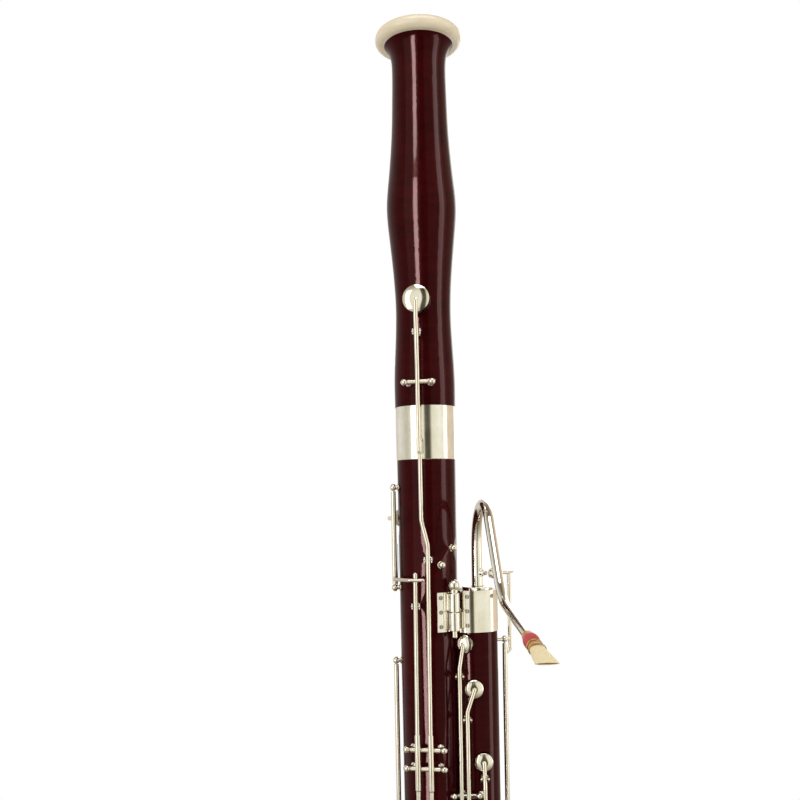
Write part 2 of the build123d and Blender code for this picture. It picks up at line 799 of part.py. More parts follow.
def make_receiver():
    """The metal socket for the bocal: a liner with a collar on top of the wing joint."""
    bore = 6.15
    collar_r = 12.0
    with BuildPart() as receiver:
        with BuildSketch(Plane(origin=(*WING_AXIS, RECEIVER_FOOT))):
            Circle(RECEIVER_R)
        extrude(amount=WING_TOP - RECEIVER_FOOT)
        with BuildSketch(Plane(origin=(*WING_AXIS, WING_TOP))):
            Circle(collar_r)
        extrude(amount=2.0)
        fillet(receiver.edges().group_by(Axis.Z)[-1], 0.7)
        with BuildSketch(Plane(origin=(*WING_AXIS, RECEIVER_FOOT))):
            Circle(bore)
        extrude(amount=WING_TOP - RECEIVER_FOOT + 2.0, mode=Mode.SUBTRACT)
    return receiver.part


def wing_stands():
    """Where the ball posts of the wing joint's hinges stand; the flick keys share one pin."""
    shared = [
        (FLICK_PAIR.ball(-1), WING_LOBE, LOBE_R),
        (FLICK_PAIR.ball(1), WING_AXIS, WING_R),
    ]
    others = []
    for name in ("high_a_key", "thumb_c_sharp_key", "whisper_key"):
        for side in (-1, 1):
            others.append((HINGES[name].ball(side), WING_AXIS, WING_R))
    return shared + others


def make_high_d_key():
    """The longest flick key: its lever runs in the valley between the joints."""
    hinge = HINGES["high_d_key"]
    cup = CUPS["high_d_key"]
    over = hinge.out + RIDE
    lever = rod(
        [
            spot(WING_THUMB, -16.6, 694.0, 22.4),
            spot(WING_THUMB, -16.6, 728.0, over),
            spot(WING_THUMB, -16.6, 836.0, over),
            cup.crown(),
        ],
        bend=8.0,
    )
    plate = touch(lane(WING_THUMB, -16.8, 690.0, 21.8), 7.5, 15.0)
    return make_key(hinge, [lever], cup, [plate])


def make_high_c_key():
    """The middle flick key."""
    hinge = HINGES["high_c_key"]
    cup = CUPS["high_c_key"]
    over = hinge.out + RIDE
    lever = rod(
        [
            spot(WING_THUMB, -8.2, 688.0, 22.6),
            spot(WING_THUMB, -11.2, 713.0, over),
            spot(WING_THUMB, -11.2, 803.0, over),
            cup.crown(),
        ],
        bend=8.0,
    )
    plate = touch(lane(WING_THUMB, -8.2, 684.0, 21.8), 8.0, 15.0)
    return make_key(hinge, [lever], cup, [plate])


def make_high_a_key():
    """The lowest flick key, straight down the thumb side."""
    hinge = HINGES["high_a_key"]
    cup = CUPS["high_a_key"]
    over = hinge.out + RIDE
    lever = rod(
        [
            spot(WING_THUMB, 1.2, 660.0, 22.4),
            spot(WING_THUMB, 1.2, 690.0, over),
            spot(WING_THUMB, 1.2, 746.0, over),
            cup.crown(),
        ],
        bend=12.0,
    )
    plate = touch(lane(WING_THUMB, 1.4, 658.0, 21.8), 9.0, 15.0)
    return make_key(hinge, [lever], cup, [plate])


def make_thumb_c_sharp_key():
    """A short rocker: touch above the hinge, pad below it."""
    hinge = HINGES["thumb_c_sharp_key"]
    cup = CUPS["thumb_c_sharp_key"]
    over = hinge.out + RIDE
    lever = rod(
        [
            spot(WING_THUMB, 2.0, 634.0, 22.6),
            spot(WING_THUMB, 2.0, 612.0, over),
            spot(WING_THUMB, 2.0, 586.0, over - 0.4),
            cup.crown(),
        ],
        bend=6.0,
    )
    plate = touch(lane(WING_THUMB, 2.0, 638.0, 21.8), 10.0, 18.0)
    return make_key(hinge, [lever], cup, [plate])


# ---------------------------------------------------------------- bocal, reed and whisper key
PIP_BEARING = 56.0
PIP_Z = 906.4
PIP_TIP = 8.6
WHISPER_GAP = 3.0
WHISPER_CUP_R = 4.0
BOCAL_BEARING = 4.5
BOCAL_FOOT = 869.0
BOCAL_R_FOOT = 4.6
BOCAL_R_TIP = 2.6
BOCAL_WALL = 0.6
BOCAL_ROUTE = ((0.0, BOCAL_FOOT), (0.0, 1019.3), (103.6, 896.0), (191.0, 882.5))
BOCAL_BENDS = [34.0, 45.0]
REED_LENGTH = 50.0
REED_OVERLAP = 9.0


def bocal_path():
    """The bocal's centre line: straight runs joined by two tangent arcs in one upright plane."""
    frame = station(WING_AXIS, BOCAL_BEARING)
    points = [spot(frame, 0, z, out) for out, z in BOCAL_ROUTE]
    with BuildLine() as line:
        FilletPolyline(*points, radius=BOCAL_BENDS)
    return line.wire()


def bocal_body(shrink):
    """The tapering tube, or with a positive shrink the space inside it."""
    path = bocal_path()
    with BuildPart() as tube:
        with BuildSketch(Plane(origin=path @ 0, z_dir=path % 0)) as foot:
            Circle(BOCAL_R_FOOT - shrink)
        with BuildSketch(Plane(origin=path @ 1, z_dir=path % 1)) as tip:
            Circle(BOCAL_R_TIP - shrink)
        sweep([foot.sketch, tip.sketch], path=path, multisection=True)
    return tube.part


def make_bocal():
    """The bent metal mouthpipe."""
    outside = bocal_body(0.0)
    inside = bocal_body(BOCAL_WALL)
    with BuildPart() as bocal:
        add(outside)
        add(inside, mode=Mode.SUBTRACT)
    return bocal.part


def make_bocal_cork(tube):
    """The cork round the bocal's foot."""
    with BuildPart() as cork:
        with BuildSketch(Plane(origin=(*WING_AXIS, 871.0))):
            Circle(6.1)
        extrude(amount=20.0)
        chamfer(cork.edges(), 0.3)
        add(tube, mode=Mode.SUBTRACT)
    return cork.part


def make_pip():
    """The vent nipple soldered to the bocal."""
    plane = station(WING_AXIS, PIP_BEARING, PIP_Z)
    tube = bocal_body(0.0)
    with BuildPart() as pip:
        with BuildSketch(turning_plane(plane)):
            with BuildLine():
                Polyline((0.4, 2.5), (3.0, 2.5), (2.8, 5.2), (1.7, 6.2), (1.7, PIP_TIP - 0.4))
                Polyline((1.7, PIP_TIP - 0.4), (1.3, PIP_TIP), (0.4, PIP_TIP), (0.4, 2.5))
            make_face()
        revolve(axis=Axis(plane.origin, plane.z_dir))
        add(tube, mode=Mode.SUBTRACT)
    return pip.part


def reed_plane():
    """Plane at the bocal's tip: local X across the blades, local Z along the reed."""
    path = bocal_path()
    outward = path % 1
    across = station(WING_AXIS, BOCAL_BEARING).x_dir
    return Plane(origin=(path @ 1) - outward * REED_OVERLAP, x_dir=across, z_dir=outward)


REED_OUTSIDE = (
    (0.0, 3.5, 3.49),
    (14.0, 3.7, 3.6),
    (22.0, 4.1, 3.3),
    (30.0, 5.0, 2.5),
    (40.0, 6.1, 1.5),
    (REED_LENGTH, 6.8, 0.75),
)
REED_INSIDE = (
    (0.0, 2.77, 2.76),
    (14.0, 2.72, 2.71),
    (22.0, 3.1, 2.4),
    (30.0, 4.0, 1.8),
    (40.0, 5.2, 1.0),
    (REED_LENGTH, 6.0, 0.42),
)


def reed_form(sections):
    """The reed's outside, or its hollow, lofted from a round tube to the flat tip."""
    plane = reed_plane()
    with BuildPart() as form:
        for distance, half_width, half_thick in sections:
            with BuildSketch(plane.offset(distance)):
                Ellipse(half_width, half_thick)
        loft()
    return form.part


def make_reed_blades():
    """Two cane blades bound into one tube, parted along their sides."""
    plane = reed_plane()
    slit = 0.12
    outside = reed_form(REED_OUTSIDE)
    inside = reed_form(REED_INSIDE)
    with BuildPart() as reed:
        add(outside)
        add(inside, mode=Mode.SUBTRACT)
        with BuildSketch(plane.offset(17.0)):
            Rectangle(20.0, slit)
        extrude(amount=REED_LENGTH, mode=Mode.SUBTRACT)
    return reed.part


def make_reed_wires():
    """Three rings of brass wire round the cane."""
    plane = reed_plane()
    rings = []
    for distance, half_width, half_thick in ((18.6, 3.95, 3.5), (24.8, 4.45, 3.1)):
        with BuildPart() as ring:
            with BuildSketch(plane.offset(distance)):
                Ellipse(half_width + 0.75, half_thick + 0.75)
                Ellipse(half_width + 0.05, half_thick + 0.05, mode=Mode.SUBTRACT)
            extrude(amount=0.8)
        rings.append(ring.part)
    return group(rings)


def make_reed_binding():
    """The thread turban wound over the reed's tube."""
    plane = reed_plane()
    with BuildPart() as binding:
        with BuildSketch(turning_plane(plane)):
            with BuildLine():
                Line((3.8, 5.0), (3.8, 16.4))
                Spline((3.8, 16.4), (4.8, 14.4), (4.9, 10.6), (4.4, 7.0), (3.8, 5.0))
            make_face()
        revolve(axis=Axis(plane.origin, plane.z_dir))
    return binding.part


def make_whisper_key():
    """Side rod with a stem up past the wing joint, a cross bar to the vent pad and a thumb touch."""
    hinge = HINGES["whisper_key"]
    face = PIP_TIP + WHISPER_GAP
    back = face + 3.6
    pad_plane = station(WING_AXIS, PIP_BEARING, PIP_Z, face)
    stem_out = hinge.out + 4.8
    stem = rod(
        [
            around(WING_AXIS, hinge.bearing, hinge.out, 842.0),
            around(WING_AXIS, hinge.bearing, stem_out, 845.0),
            around(WING_AXIS, hinge.bearing, stem_out, PIP_Z - 1.0),
        ],
        bend=2.5,
    )
    bar = rod(
        [
            around(WING_AXIS, hinge.bearing - 2.0, stem_out + 2.4, PIP_Z),
            around(WING_AXIS, hinge.bearing - 22.0, stem_out - 3.5, PIP_Z),
            around(WING_AXIS, PIP_BEARING + 2.0, back - 0.5, PIP_Z),
        ],
        bend=4.0,
        radius=1.3,
    )
    with BuildPart() as cup:
        with BuildSketch(pad_plane.offset(1.6)):
            Circle(WHISPER_CUP_R)
        extrude(amount=2.4)
        fillet(cup.faces().sort_by(Axis(pad_plane.origin, pad_plane.z_dir))[-1].edges(), 1.0)
    with BuildPart() as pad:
        with BuildSketch(pad_plane):
            Circle(WHISPER_CUP_R - 0.5)
        extrude(amount=1.6)
    reach = rod(
        [
            around(WING_AXIS, hinge.bearing, hinge.out, 662.0),
            around(WING_AXIS, 78.0, 25.0, 662.0),
            around(WING_AXIS, 40.0, 24.4, 660.0),
        ],
        bend=4.0,
    )
    plate = touch(station(WING_AXIS, 38.0, 662.0, 23.4), 11.0, 26.0)
    metal = make_key(hinge, [stem, bar, reach], None, [cup.part, plate])
    return group([metal, pad.part])


# ---------------------------------------------------------------- body lock
LOCK_X = LONG_AXIS[0] + 18.4
LOCK_Y = -21.9
BARREL_R = 4.2
LOCK_PIN_R = 2.0
LOCK_SPLIT = 878.5
LOCK_SCREW_HEIGHTS = (867.5, 878.5, 889.5)
PLATE_THICK = 1.1


def long_lock_skin(z_low, z_high, bearing_low, bearing_high):
    """A plate bent round the long joint between two bearings."""
    radius = long_radius(LOCK_SPLIT) + 0.12
    with BuildPart() as skin:
        with BuildSketch(Plane(origin=(*LONG_AXIS, z_low))):
            Circle(radius + PLATE_THICK)
            Circle(radius, mode=Mode.SUBTRACT)
        extrude(amount=z_high - z_low)
        for bearing, sign in ((bearing_low, -1), (bearing_high, 1)):
            plane = Plane(origin=(*LONG_AXIS, 0), z_dir=station(LONG_AXIS, bearing).x_dir * sign)
            with BuildSketch(plane):
                Rectangle(4000, 4000)
            extrude(amount=100, mode=Mode.SUBTRACT)
    return skin.part


def barrel(z_low, z_high, bridge_to):
    """One knuckle of the lock, with a web that joins it to its plate."""
    with BuildPart() as knuckle:
        with BuildSketch(Plane(origin=(LOCK_X, LOCK_Y, z_low))):
            Circle(BARREL_R)
        extrude(amount=z_high - z_low)
        fillet(knuckle.edges(), 0.6)
        web = Vector(*bridge_to, 0) - Vector(LOCK_X, LOCK_Y, 0)
        with BuildSketch(Plane(origin=(LOCK_X, LOCK_Y, z_low + 1), x_dir=web, z_dir=(0, 0, 1))):
            with Locations((web.length / 2, 0)):
                Rectangle(web.length, 2.2)
        extrude(amount=z_high - z_low - 2)
        with BuildSketch(Plane(origin=(LOCK_X, LOCK_Y, z_low - 1))):
            Circle(LOCK_PIN_R + PIN_PLAY)
        extrude(amount=z_high - z_low + 2, mode=Mode.SUBTRACT)
    return knuckle.part


def lock_screw(plane):
    """A countersunk wood screw with a slotted head; the plane lies on the plate's face."""
    with BuildPart() as screw:
        with BuildSketch(turning_plane(plane)):
            with BuildLine():
                Polyline((0, 0.25), (1.5, 0.25), (1.7, 0.0), (0.8, -1.2), (0.8, -5.0), (0, -5.0), close=True)
            make_face()
        revolve(axis=Axis(plane.origin, plane.z_dir))
        with BuildSketch(plane.offset(-0.15)):
            Rectangle(0.4, 4.0)
        extrude(amount=1.0, mode=Mode.SUBTRACT)
    return screw.part


def lock_screws_long():
    """Three screws through the long joint's plate."""
    out = long_radius(LOCK_SPLIT) + 0.12 + PLATE_THICK
    return [lock_screw(station(LONG_AXIS, 21.0, z, out)) for z in LOCK_SCREW_HEIGHTS]


def lock_screws_wing():
    """Three screws through the front of the wing joint's band and one at its right."""
    front = [station(WING_LOBE, -14.0, z, LOBE_R + PLATE_THICK) for z in LOCK_SCREW_HEIGHTS]
    right = station(WING_AXIS, 38.0, LOCK_SCREW_HEIGHTS[-1], WING_R + PLATE_THICK)
    return [lock_screw(plane) for plane in (*front, right)]


def make_long_lock(screws):
    """The long joint's half of the body lock."""
    edge = around(LONG_AXIS, 37.0, long_radius(LOCK_SPLIT) + 0.7, 0)
    skin = long_lock_skin(863.5, 893.5, 14.0, 39.0)
    knuckle = barrel(LOCK_SPLIT + 0.3, 893.0, (edge.X, edge.Y))
    with BuildPart() as half:
        add([skin, knuckle])
        add(screws, mode=Mode.SUBTRACT)
    return half.part


def make_wing_band(screws):
    """The wing joint's half of the body lock: a band round the top of the joint."""
    edge = around(WING_LOBE, -37.0, LOBE_R + 0.6, 0)
    outer = wing_section(PLATE_THICK)
    inner = wing_section()
    knuckle = barrel(864.5, LOCK_SPLIT, (edge.X, edge.Y))
    with BuildPart() as band:
        with BuildSketch(Plane.XY.offset(BAND_FOOT)):
            add(outer)
            add(inner, mode=Mode.SUBTRACT)
        extrude(amount=WING_TOP - BAND_FOOT)
        add(knuckle)
        add(screws, mode=Mode.SUBTRACT)
    return band.part


def make_lock_pin():
    """The sliding pin with its ball knob."""
    knob = 4.4
    top = 899.0
    with BuildPart() as pin:
        with BuildSketch(Plane(origin=(LOCK_X, LOCK_Y, 859.0))):
            Circle(LOCK_PIN_R)
        extrude(amount=top - 859.0)
        chamfer(pin.edges().group_by(Axis.Z)[0], 0.8)
        with Locations((LOCK_X, LOCK_Y, top)):
            Sphere(knob)
        with BuildSketch(Plane(origin=(LOCK_X, LOCK_Y, 893.4))):
            Circle(3.0)
        extrude(amount=2.0)
    return pin.part


# ---------------------------------------------------------------- boot
CAP_HEIGHT = 60.0
CAP_WALL = 1.0
BOOT_FOOT = 49.0
CAP_FLOOR = 2.0
LONG_SOCKET_FOOT = 402.0
WING_SOCKET_FOOT = 405.0
BOOT_LARGE_TOP = 12.7
BOOT_LARGE_FOOT = 10.8
BOOT_SMALL_TOP = 7.9
BOOT_SMALL_FOOT = 9.6
BOW_R = 10.2
BOOT_BAND_FOOT = 424.0
HAND_REST_Z = 352.0
HAND_REST_BORE = 3.0
STRAP_Z = 428.0
STRAP_EYE_R = 3.2


def boot_section(grow=0.0):
    """The boot's oval outline."""
    with BuildSketch() as section:
        with Locations(LONG_AXIS):
            Circle(BOOT_R_LONG + grow)
        with Locations(WING_AXIS):
            Circle(BOOT_R_WING + grow)
        make_hull()
    return section.sketch


def boot_bore(axis, socket_r, socket_foot, top_r, foot_r):
    """One bore of the boot with the tenon socket above it."""
    with BuildPart() as bore:
        with BuildSketch(turning_plane(Plane(origin=(*axis, 0)))):
            with BuildLine():
                Polyline(
                    (0, BOOT_FOOT),
                    (foot_r, BOOT_FOOT),
                    (top_r, socket_foot),
                    (socket_r, socket_foot),
                    (socket_r, BOOT_TOP),
                    (0, BOOT_TOP),
                    close=True,
                )
            make_face()
        revolve(axis=Axis((*axis, 0), (0, 0, 1)))
    return bore.part


def boot_finger_drill(z):
    """An open finger hole at the back of the boot."""
    with BuildPart() as drill:
        with BuildSketch(station(WING_AXIS, 176.0, z, BOOT_R_WING + 4)):
            Circle(3.6)
        extrude(amount=-22.0)
    return drill.part


def make_boot(cutters):
    """The double-bored wooden boot."""
    full = boot_section()
    waist = boot_section(-CAP_WALL)
    large = boot_bore(LONG_AXIS, SOCKET_R, LONG_SOCKET_FOOT, BOOT_LARGE_TOP, BOOT_LARGE_FOOT)
    small = boot_bore(WING_AXIS, WING_CORK_R + 0.1, WING_SOCKET_FOOT, BOOT_SMALL_TOP, BOOT_SMALL_FOOT)
    drills = [boot_finger_drill(z) for z in (392.0, 356.0)]
    with BuildPart() as boot:
        with BuildSketch(Plane.XY.offset(BOOT_FOOT)):
            add(waist)
        extrude(amount=CAP_HEIGHT - BOOT_FOOT)
        with BuildSketch(Plane.XY.offset(CAP_HEIGHT)):
            add(full)
        extrude(amount=BOOT_BAND_FOOT - CAP_HEIGHT)
        with BuildSketch(Plane.XY.offset(BOOT_BAND_FOOT)):
            add(waist)
        extrude(amount=BOOT_TOP - BOOT_BAND_FOOT)
        add([large, small, *drills, *cutters], mode=Mode.SUBTRACT)
    return boot.part


def make_boot_band():
    """The plated oval band round the boot's two sockets."""
    outer = boot_section(0.3)
    inner = boot_section(-CAP_WALL)
    with BuildPart() as band:
        with BuildSketch(Plane.XY.offset(BOOT_BAND_FOOT)):
            add(outer)
            add(inner, mode=Mode.SUBTRACT)
        extrude(amount=BOOT_TOP - BOOT_BAND_FOOT)
        chamfer(band.faces().sort_by(Axis.Z)[-1].outer_wire().edges(), 0.4)
    return band.part


def make_boot_cap():
    """The plated cap that pulls off to reach the bow."""
    outer = boot_section()
    inner = boot_section(-CAP_WALL + 0.1)
    with BuildPart() as cap:
        with BuildSketch(Plane.XY):
            add(outer)
        extrude(amount=CAP_HEIGHT - 0.2)
        fillet(cap.faces().sort_by(Axis.Z)[0].outer_wire().edges(), 1.6)
        with BuildSketch(Plane.XY.offset(CAP_FLOOR)):
            add(inner)
        extrude(amount=CAP_HEIGHT, mode=Mode.SUBTRACT)
    return cap.part


def bow_plate(z_low, thick, hole_grow):
    """An oval plate under the boot with both bores and its screw holes."""
    outline = boot_section(-4.0)
    with BuildPart() as plate:
        with BuildSketch(Plane.XY.offset(z_low)):
            add(outline)
            for axis, radius in ((LONG_AXIS, BOOT_LARGE_FOOT), (WING_AXIS, BOOT_SMALL_FOOT)):
                with Locations(axis):
                    Circle(radius + hole_grow, mode=Mode.SUBTRACT)
            with Locations(*BOW_SCREWS):
                Circle(1.25, mode=Mode.SUBTRACT)
        extrude(amount=thick)
    return plate.part


BOW_SCREWS = ((0.0, -16.5), (0.0, 16.5), (-35.6, 0.0), (33.6, 0.0))


def make_bow():
    """The metal return bend that joins the boot's two bores."""
    drop = 3.0
    top = BOOT_FOOT - 3.0
    with BuildPart() as bow:
        with BuildLine() as path:
            Line((*LONG_AXIS, top), (*LONG_AXIS, top - drop))
            ThreePointArc(
                (*LONG_AXIS, top - drop),
                (0, 0, top - drop - BORE_SPACING / 2),
                (*WING_AXIS, top - drop),
            )
            Line((*WING_AXIS, top - drop), (*WING_AXIS, top))
        with BuildSketch(Plane(origin=path.line @ 0, z_dir=path.line % 0)):
            Circle(BOW_R)
            Circle(BOW_R - 0.8, mode=Mode.SUBTRACT)
        sweep(path=path.line)
    return bow.part


def make_bow_screws():
    """Four screws that draw the bow and its gasket up against the boot."""
    screws = []
    for x, y in BOW_SCREWS:
        with BuildPart() as screw:
            with BuildSketch(Plane(origin=(x, y, BOOT_FOOT - 3.0))):
                Circle(1.2)
            extrude(amount=9.0)
            with BuildSketch(Plane(origin=(x, y, BOOT_FOOT - 5.0))):
                Circle(2.3)
            extrude(amount=2.0)
            with BuildSketch(Plane(origin=(x, y, BOOT_FOOT - 5.0))):
                Rectangle(0.5, 6.0)
            extrude(amount=0.6, mode=Mode.SUBTRACT)
        screws.append(screw.part)
    return group(screws)


def make_strap_ring():
    """The plate and eye for the carrying strap, on the boot's thumb side."""
    plane = lane(station(LONG_AXIS, BOOT_TILT), 17.0, STRAP_Z + 4.0, BOOT_R_LONG + 0.3)
    side = Plane(origin=plane.origin - plane.x_dir * 1.5, x_dir=plane.z_dir, z_dir=plane.x_dir)
    with BuildPart() as ring:
        with BuildSketch(plane):
            RectangleRounded(14.0, 9.0, 1.5)
        extrude(amount=1.2)
        with BuildSketch(side):
            with Locations((6.6, 0)):
                Circle(5.4)
            with Locations((2.6, 0)):
                Rectangle(4.4, 6.4)
            with Locations((6.6, 0)):
                Circle(STRAP_EYE_R, mode=Mode.SUBTRACT)
        extrude(amount=3.0)
    return ring.part


def make_hand_rest_plate():
    """The socket block that takes the stem of a hand rest."""
    base = WING_AXIS[0] + BOOT_R_WING
    with BuildPart() as block:
        with BuildSketch(Plane(origin=(base - 1.4, 0, HAND_REST_Z), x_dir=(0, 1, 0), z_dir=(1, 0, 0))):
            RectangleRounded(15.0, 24.0, 3.0)
        extrude(amount=2.6)
        with BuildSketch(Plane(origin=(base + 1.2, 0, HAND_REST_Z), x_dir=(0, 1, 0), z_dir=(1, 0, 0))):
            Circle(5.6)
        extrude(amount=12.0)
        fillet(block.edges().group_by(Axis.X)[-1], 0.6)
        with BuildSketch(Plane(origin=(base + 1.2, 0, HAND_REST_Z), x_dir=(0, 1, 0), z_dir=(1, 0, 0))):
            Circle(HAND_REST_BORE)
        extrude(amount=13.0, mode=Mode.SUBTRACT)
        with BuildSketch(Plane(origin=(base + 7.4, 0, HAND_REST_Z), x_dir=(0, 0, 1), z_dir=(0, -1, 0))):
            Circle(1.55)
        extrude(amount=12.0, mode=Mode.SUBTRACT)
    return block.part


def make_hand_rest_screw():
    """The knurled thumbscrew that clamps the hand rest's stem."""
    base = WING_AXIS[0] + BOOT_R_WING
    with BuildPart() as screw:
        with BuildSketch(Plane(origin=(base + 7.4, -3.4, HAND_REST_Z), x_dir=(0, 0, 1), z_dir=(0, -1, 0))):
            Circle(1.5)
        extrude(amount=5.0)
        with BuildSketch(Plane(origin=(base + 7.4, -8.0, HAND_REST_Z), x_dir=(0, 0, 1), z_dir=(0, -1, 0))):
            Circle(4.6)
            with PolarLocations(4.8, 14):
                Circle(0.55, mode=Mode.SUBTRACT)
        extrude(amount=5.0)
    return screw.part


def boot_stands():
    """Where the ball posts of the boot's hinges stand."""
    stands = []
    for name in ("pancake_key", *BOOT_THUMB_KEYS):
        for side in (-1, 1):
            ball = HINGES[name].ball(side)
            stands.append((ball, (ball.X, 0.0), boot_depth(ball.X)))
    for name in ("g_key", "f_sharp_key", "g_sharp_key"):
        for side in (-1, 1):
            stands.append((HINGES[name].ball(side), WING_AXIS, BOOT_R_WING))
    for side in (-1, 1):
        stands.append((HINGES["low_f_key"].ball(side), LONG_AXIS, BOOT_R_LONG))
    return stands


def make_pancake_key():
    """The broad round thumb plate near the top of the boot."""
    hinge = HINGES["pancake_key"]
    cup = CUPS["pancake_key"]
    crown = cup.crown()
    arm = rod(
        [
            Vector(hinge.centre().X, -hinge.out, cup.z),
            Vector(13.0, crown.Y - 1.2, cup.z),
            Vector(0.0, crown.Y + 0.2, cup.z),
        ],
        bend=3.0,
    )
    return make_key(hinge, [arm], cup)


def make_boot_thumb_key(name):
    """A rocker on the boot: thumb touch above the hinge, pad below it."""
    hinge = HINGES[name]
    cup = CUPS[name]
    frame = station(hinge.axis, 0)
    over = hinge.out + RIDE
    lever = rod(
        [
            spot(frame, 0, 346.0, over - 0.6),
            spot(frame, 0, 330.0, over),
            spot(frame, 0, cup.z + 16.0, over - 0.6),
            cup.crown(),
        ],
        bend=5.0,
    )
    plate = touch(station(hinge.axis, 0, 348.0, over - 1.2), 10.0, 20.0)
    return make_key(hinge, [lever], cup, [plate])


# ---------------------------------------------------------------- build and export
def pins(names):
    """The hinge pins of one joint."""
    return [hinge_pin(HINGES[name]) for name in names]


def build_bell():
    """Every piece of the bell."""
    hinges = [HINGES["bell_key"]]
    posts = drilled_posts([(HINGES["bell_key"].ball(side), LONG_AXIS, 23.6) for side in (-1, 1)], hinges)
    guide = make_bell_guide()
    rim = bell_rim_ring()
    hole = tone_hole(CUPS["bell_key"], *TONE_HOLES["bell_key"])
    return {
        "bell": make_bell([posts, guide, rim, hole]),
        "bell_ring": make_bell_ring(),
        "bell_ferrule": make_ferrule(),
        "bell_tone_hole_rim": rim,
        "bell_posts": group([posts, guide]),
        "bell_key_pin": hinge_pin(HINGES["bell_key"]),
        "bell_key": make_bell_key(),
    }


def build_long_joint(guides, lock_screws):
    """Every piece of the long joint."""
    posts = drilled_posts(long_stands(LONG_KEYS), [HINGES[name] for name in LONG_KEYS])
    studs = make_studs()
    cutters = [posts, studs, *guides, *lock_screws, *key_cuts(LONG_KEYS)]
    return {
        "long_joint": make_long_joint(cutters),
        "long_joint_corks": group(
            [
                cork_sleeve(LONG_AXIS, LONG_TENON_R, CORK_R, 407.0, 436.0),
                cork_sleeve(LONG_AXIS, LONG_TENON_R, CORK_R, 999.0, 1027.0),
            ]
        ),
        "long_joint_posts": posts,
        "long_joint_studs": studs,
        "long_joint_pins": group(pins(LONG_KEYS)),
        "long_lock_plate": make_long_lock(lock_screws),
        "b_flat_lever": make_b_flat_lever(),
        "low_b_lever": make_low_b_lever(),
        "low_b_key": make_low_b_key(),
        "c_sharp_key": make_side_key("c_sharp_key", LONG_AXIS, -150.0, 656.0, 26.4, 12.0, 20.0),
        "e_flat_key": make_side_key("e_flat_key", LONG_AXIS, -174.0, 624.0, 26.4, 12.0, 18.0),
        "low_c_key": make_side_key("low_c_key", LONG_AXIS, -14.0, 552.0, 27.6, 12.0, 20.0),
        "low_d_key": make_low_d_key(),
    }


def build_wing_joint(guides, lock_screws):
    """Every piece of the wing joint."""
    own = ("high_a_key", "thumb_c_sharp_key", "whisper_key")
    hinges = [FLICK_PAIR, *[HINGES[name] for name in own]]
    posts = drilled_posts(wing_stands(), hinges)
    cutters = [posts, *guides, *lock_screws, *key_cuts(WING_KEYS)]
    return {
        "wing_joint": make_wing_joint(cutters),
        "wing_joint_cork": cork_sleeve(WING_AXIS, WING_TENON_R, WING_CORK_R, 410.0, 436.0),
        "wing_joint_posts": posts,
        "wing_joint_pins": group([hinge_pin(hinge) for hinge in hinges]),
        "wing_lock_band": make_wing_band(lock_screws),
        "bocal_receiver": make_receiver(),
        "high_d_key": make_high_d_key(),
        "high_c_key": make_high_c_key(),
        "high_a_key": make_high_a_key(),
        "thumb_c_sharp_key": make_thumb_c_sharp_key(),
        "whisper_key": make_whisper_key(),
    }


def build_bocal():
    """The bocal and the reed."""
    return {
        "bocal": make_bocal(),
        "bocal_cork": make_bocal_cork(bocal_body(0.0)),
        "bocal_pip": make_pip(),
        "reed_blades": make_reed_blades(),
        "reed_wires": make_reed_wires(),
        "reed_binding": make_reed_binding(),
    }


def build_boot():
    """Every piece of the boot."""
    posts = drilled_posts(boot_stands(), [HINGES[name] for name in BOOT_KEYS])
    screws = make_bow_screws()
    hand_rest = make_hand_rest_plate()
    parts = {
        "boot_joint": make_boot([posts, screws, hand_rest, *key_cuts(BOOT_KEYS)]),
        "boot_top_band": make_boot_band(),
        "boot_cap": make_boot_cap(),
        "bow_gasket": bow_plate(BOOT_FOOT - 1.0, 1.0, 0.6),
        "bow_plate": bow_plate(BOOT_FOOT - 3.0, 2.0, 0.0),
        "bow": make_bow(),
        "bow_screws": screws,
        "boot_posts": posts,
        "boot_pins": group(pins(BOOT_KEYS)),
        "strap_ring": make_strap_ring(),
        "hand_rest_plate": hand_rest,
        "hand_rest_screw": make_hand_rest_screw(),
        "pancake_key": make_pancake_key(),
        "g_key": make_side_key("g_key", WING_AXIS, 176.0, 312.0, 27.6, 9.0, 9.0),
        "f_sharp_key": make_side_key("f_sharp_key", WING_AXIS, 172.0, 262.0, 27.0, 13.0, 18.0),
        "g_sharp_key": make_side_key("g_sharp_key", WING_AXIS, 172.0, 188.0, 27.0, 13.0, 22.0),
        "low_f_key": make_side_key("low_f_key", LONG_AXIS, -180.0, 252.0, 31.0, 15.0, 30.0),
    }
    for name in BOOT_THUMB_KEYS:
        parts[name] = make_boot_thumb_key(name)
    return parts


def build_all():
    """Every node of the instrument by name."""
    long_screws = lock_screws_long()
    wing_screws = lock_screws_wing()
    long_guides = make_long_guides()
    wing_guides = make_wing_guides()
    parts = {}
    parts.update(build_bell())
    parts.update(build_long_joint(long_guides, long_screws))
    parts.update(build_wing_joint(wing_guides, wing_screws))
    parts.update(build_bocal())
    parts.update(build_boot())
    parts["lock_pin"] = make_lock_pin()
    parts["lever_guides"] = group([*long_guides, *wing_guides])
    parts["lock_screws"] = group([*long_screws, *wing_screws])
    return parts


os.makedirs("parts", exist_ok=True)
for node, shape in build_all().items():
    shape.label = node
    export_step(shape, f"parts/{node}.step")
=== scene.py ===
import json
from math import cos, pi, radians, sin, sqrt

import bmesh
import bpy
from mathutils import Matrix, Vector


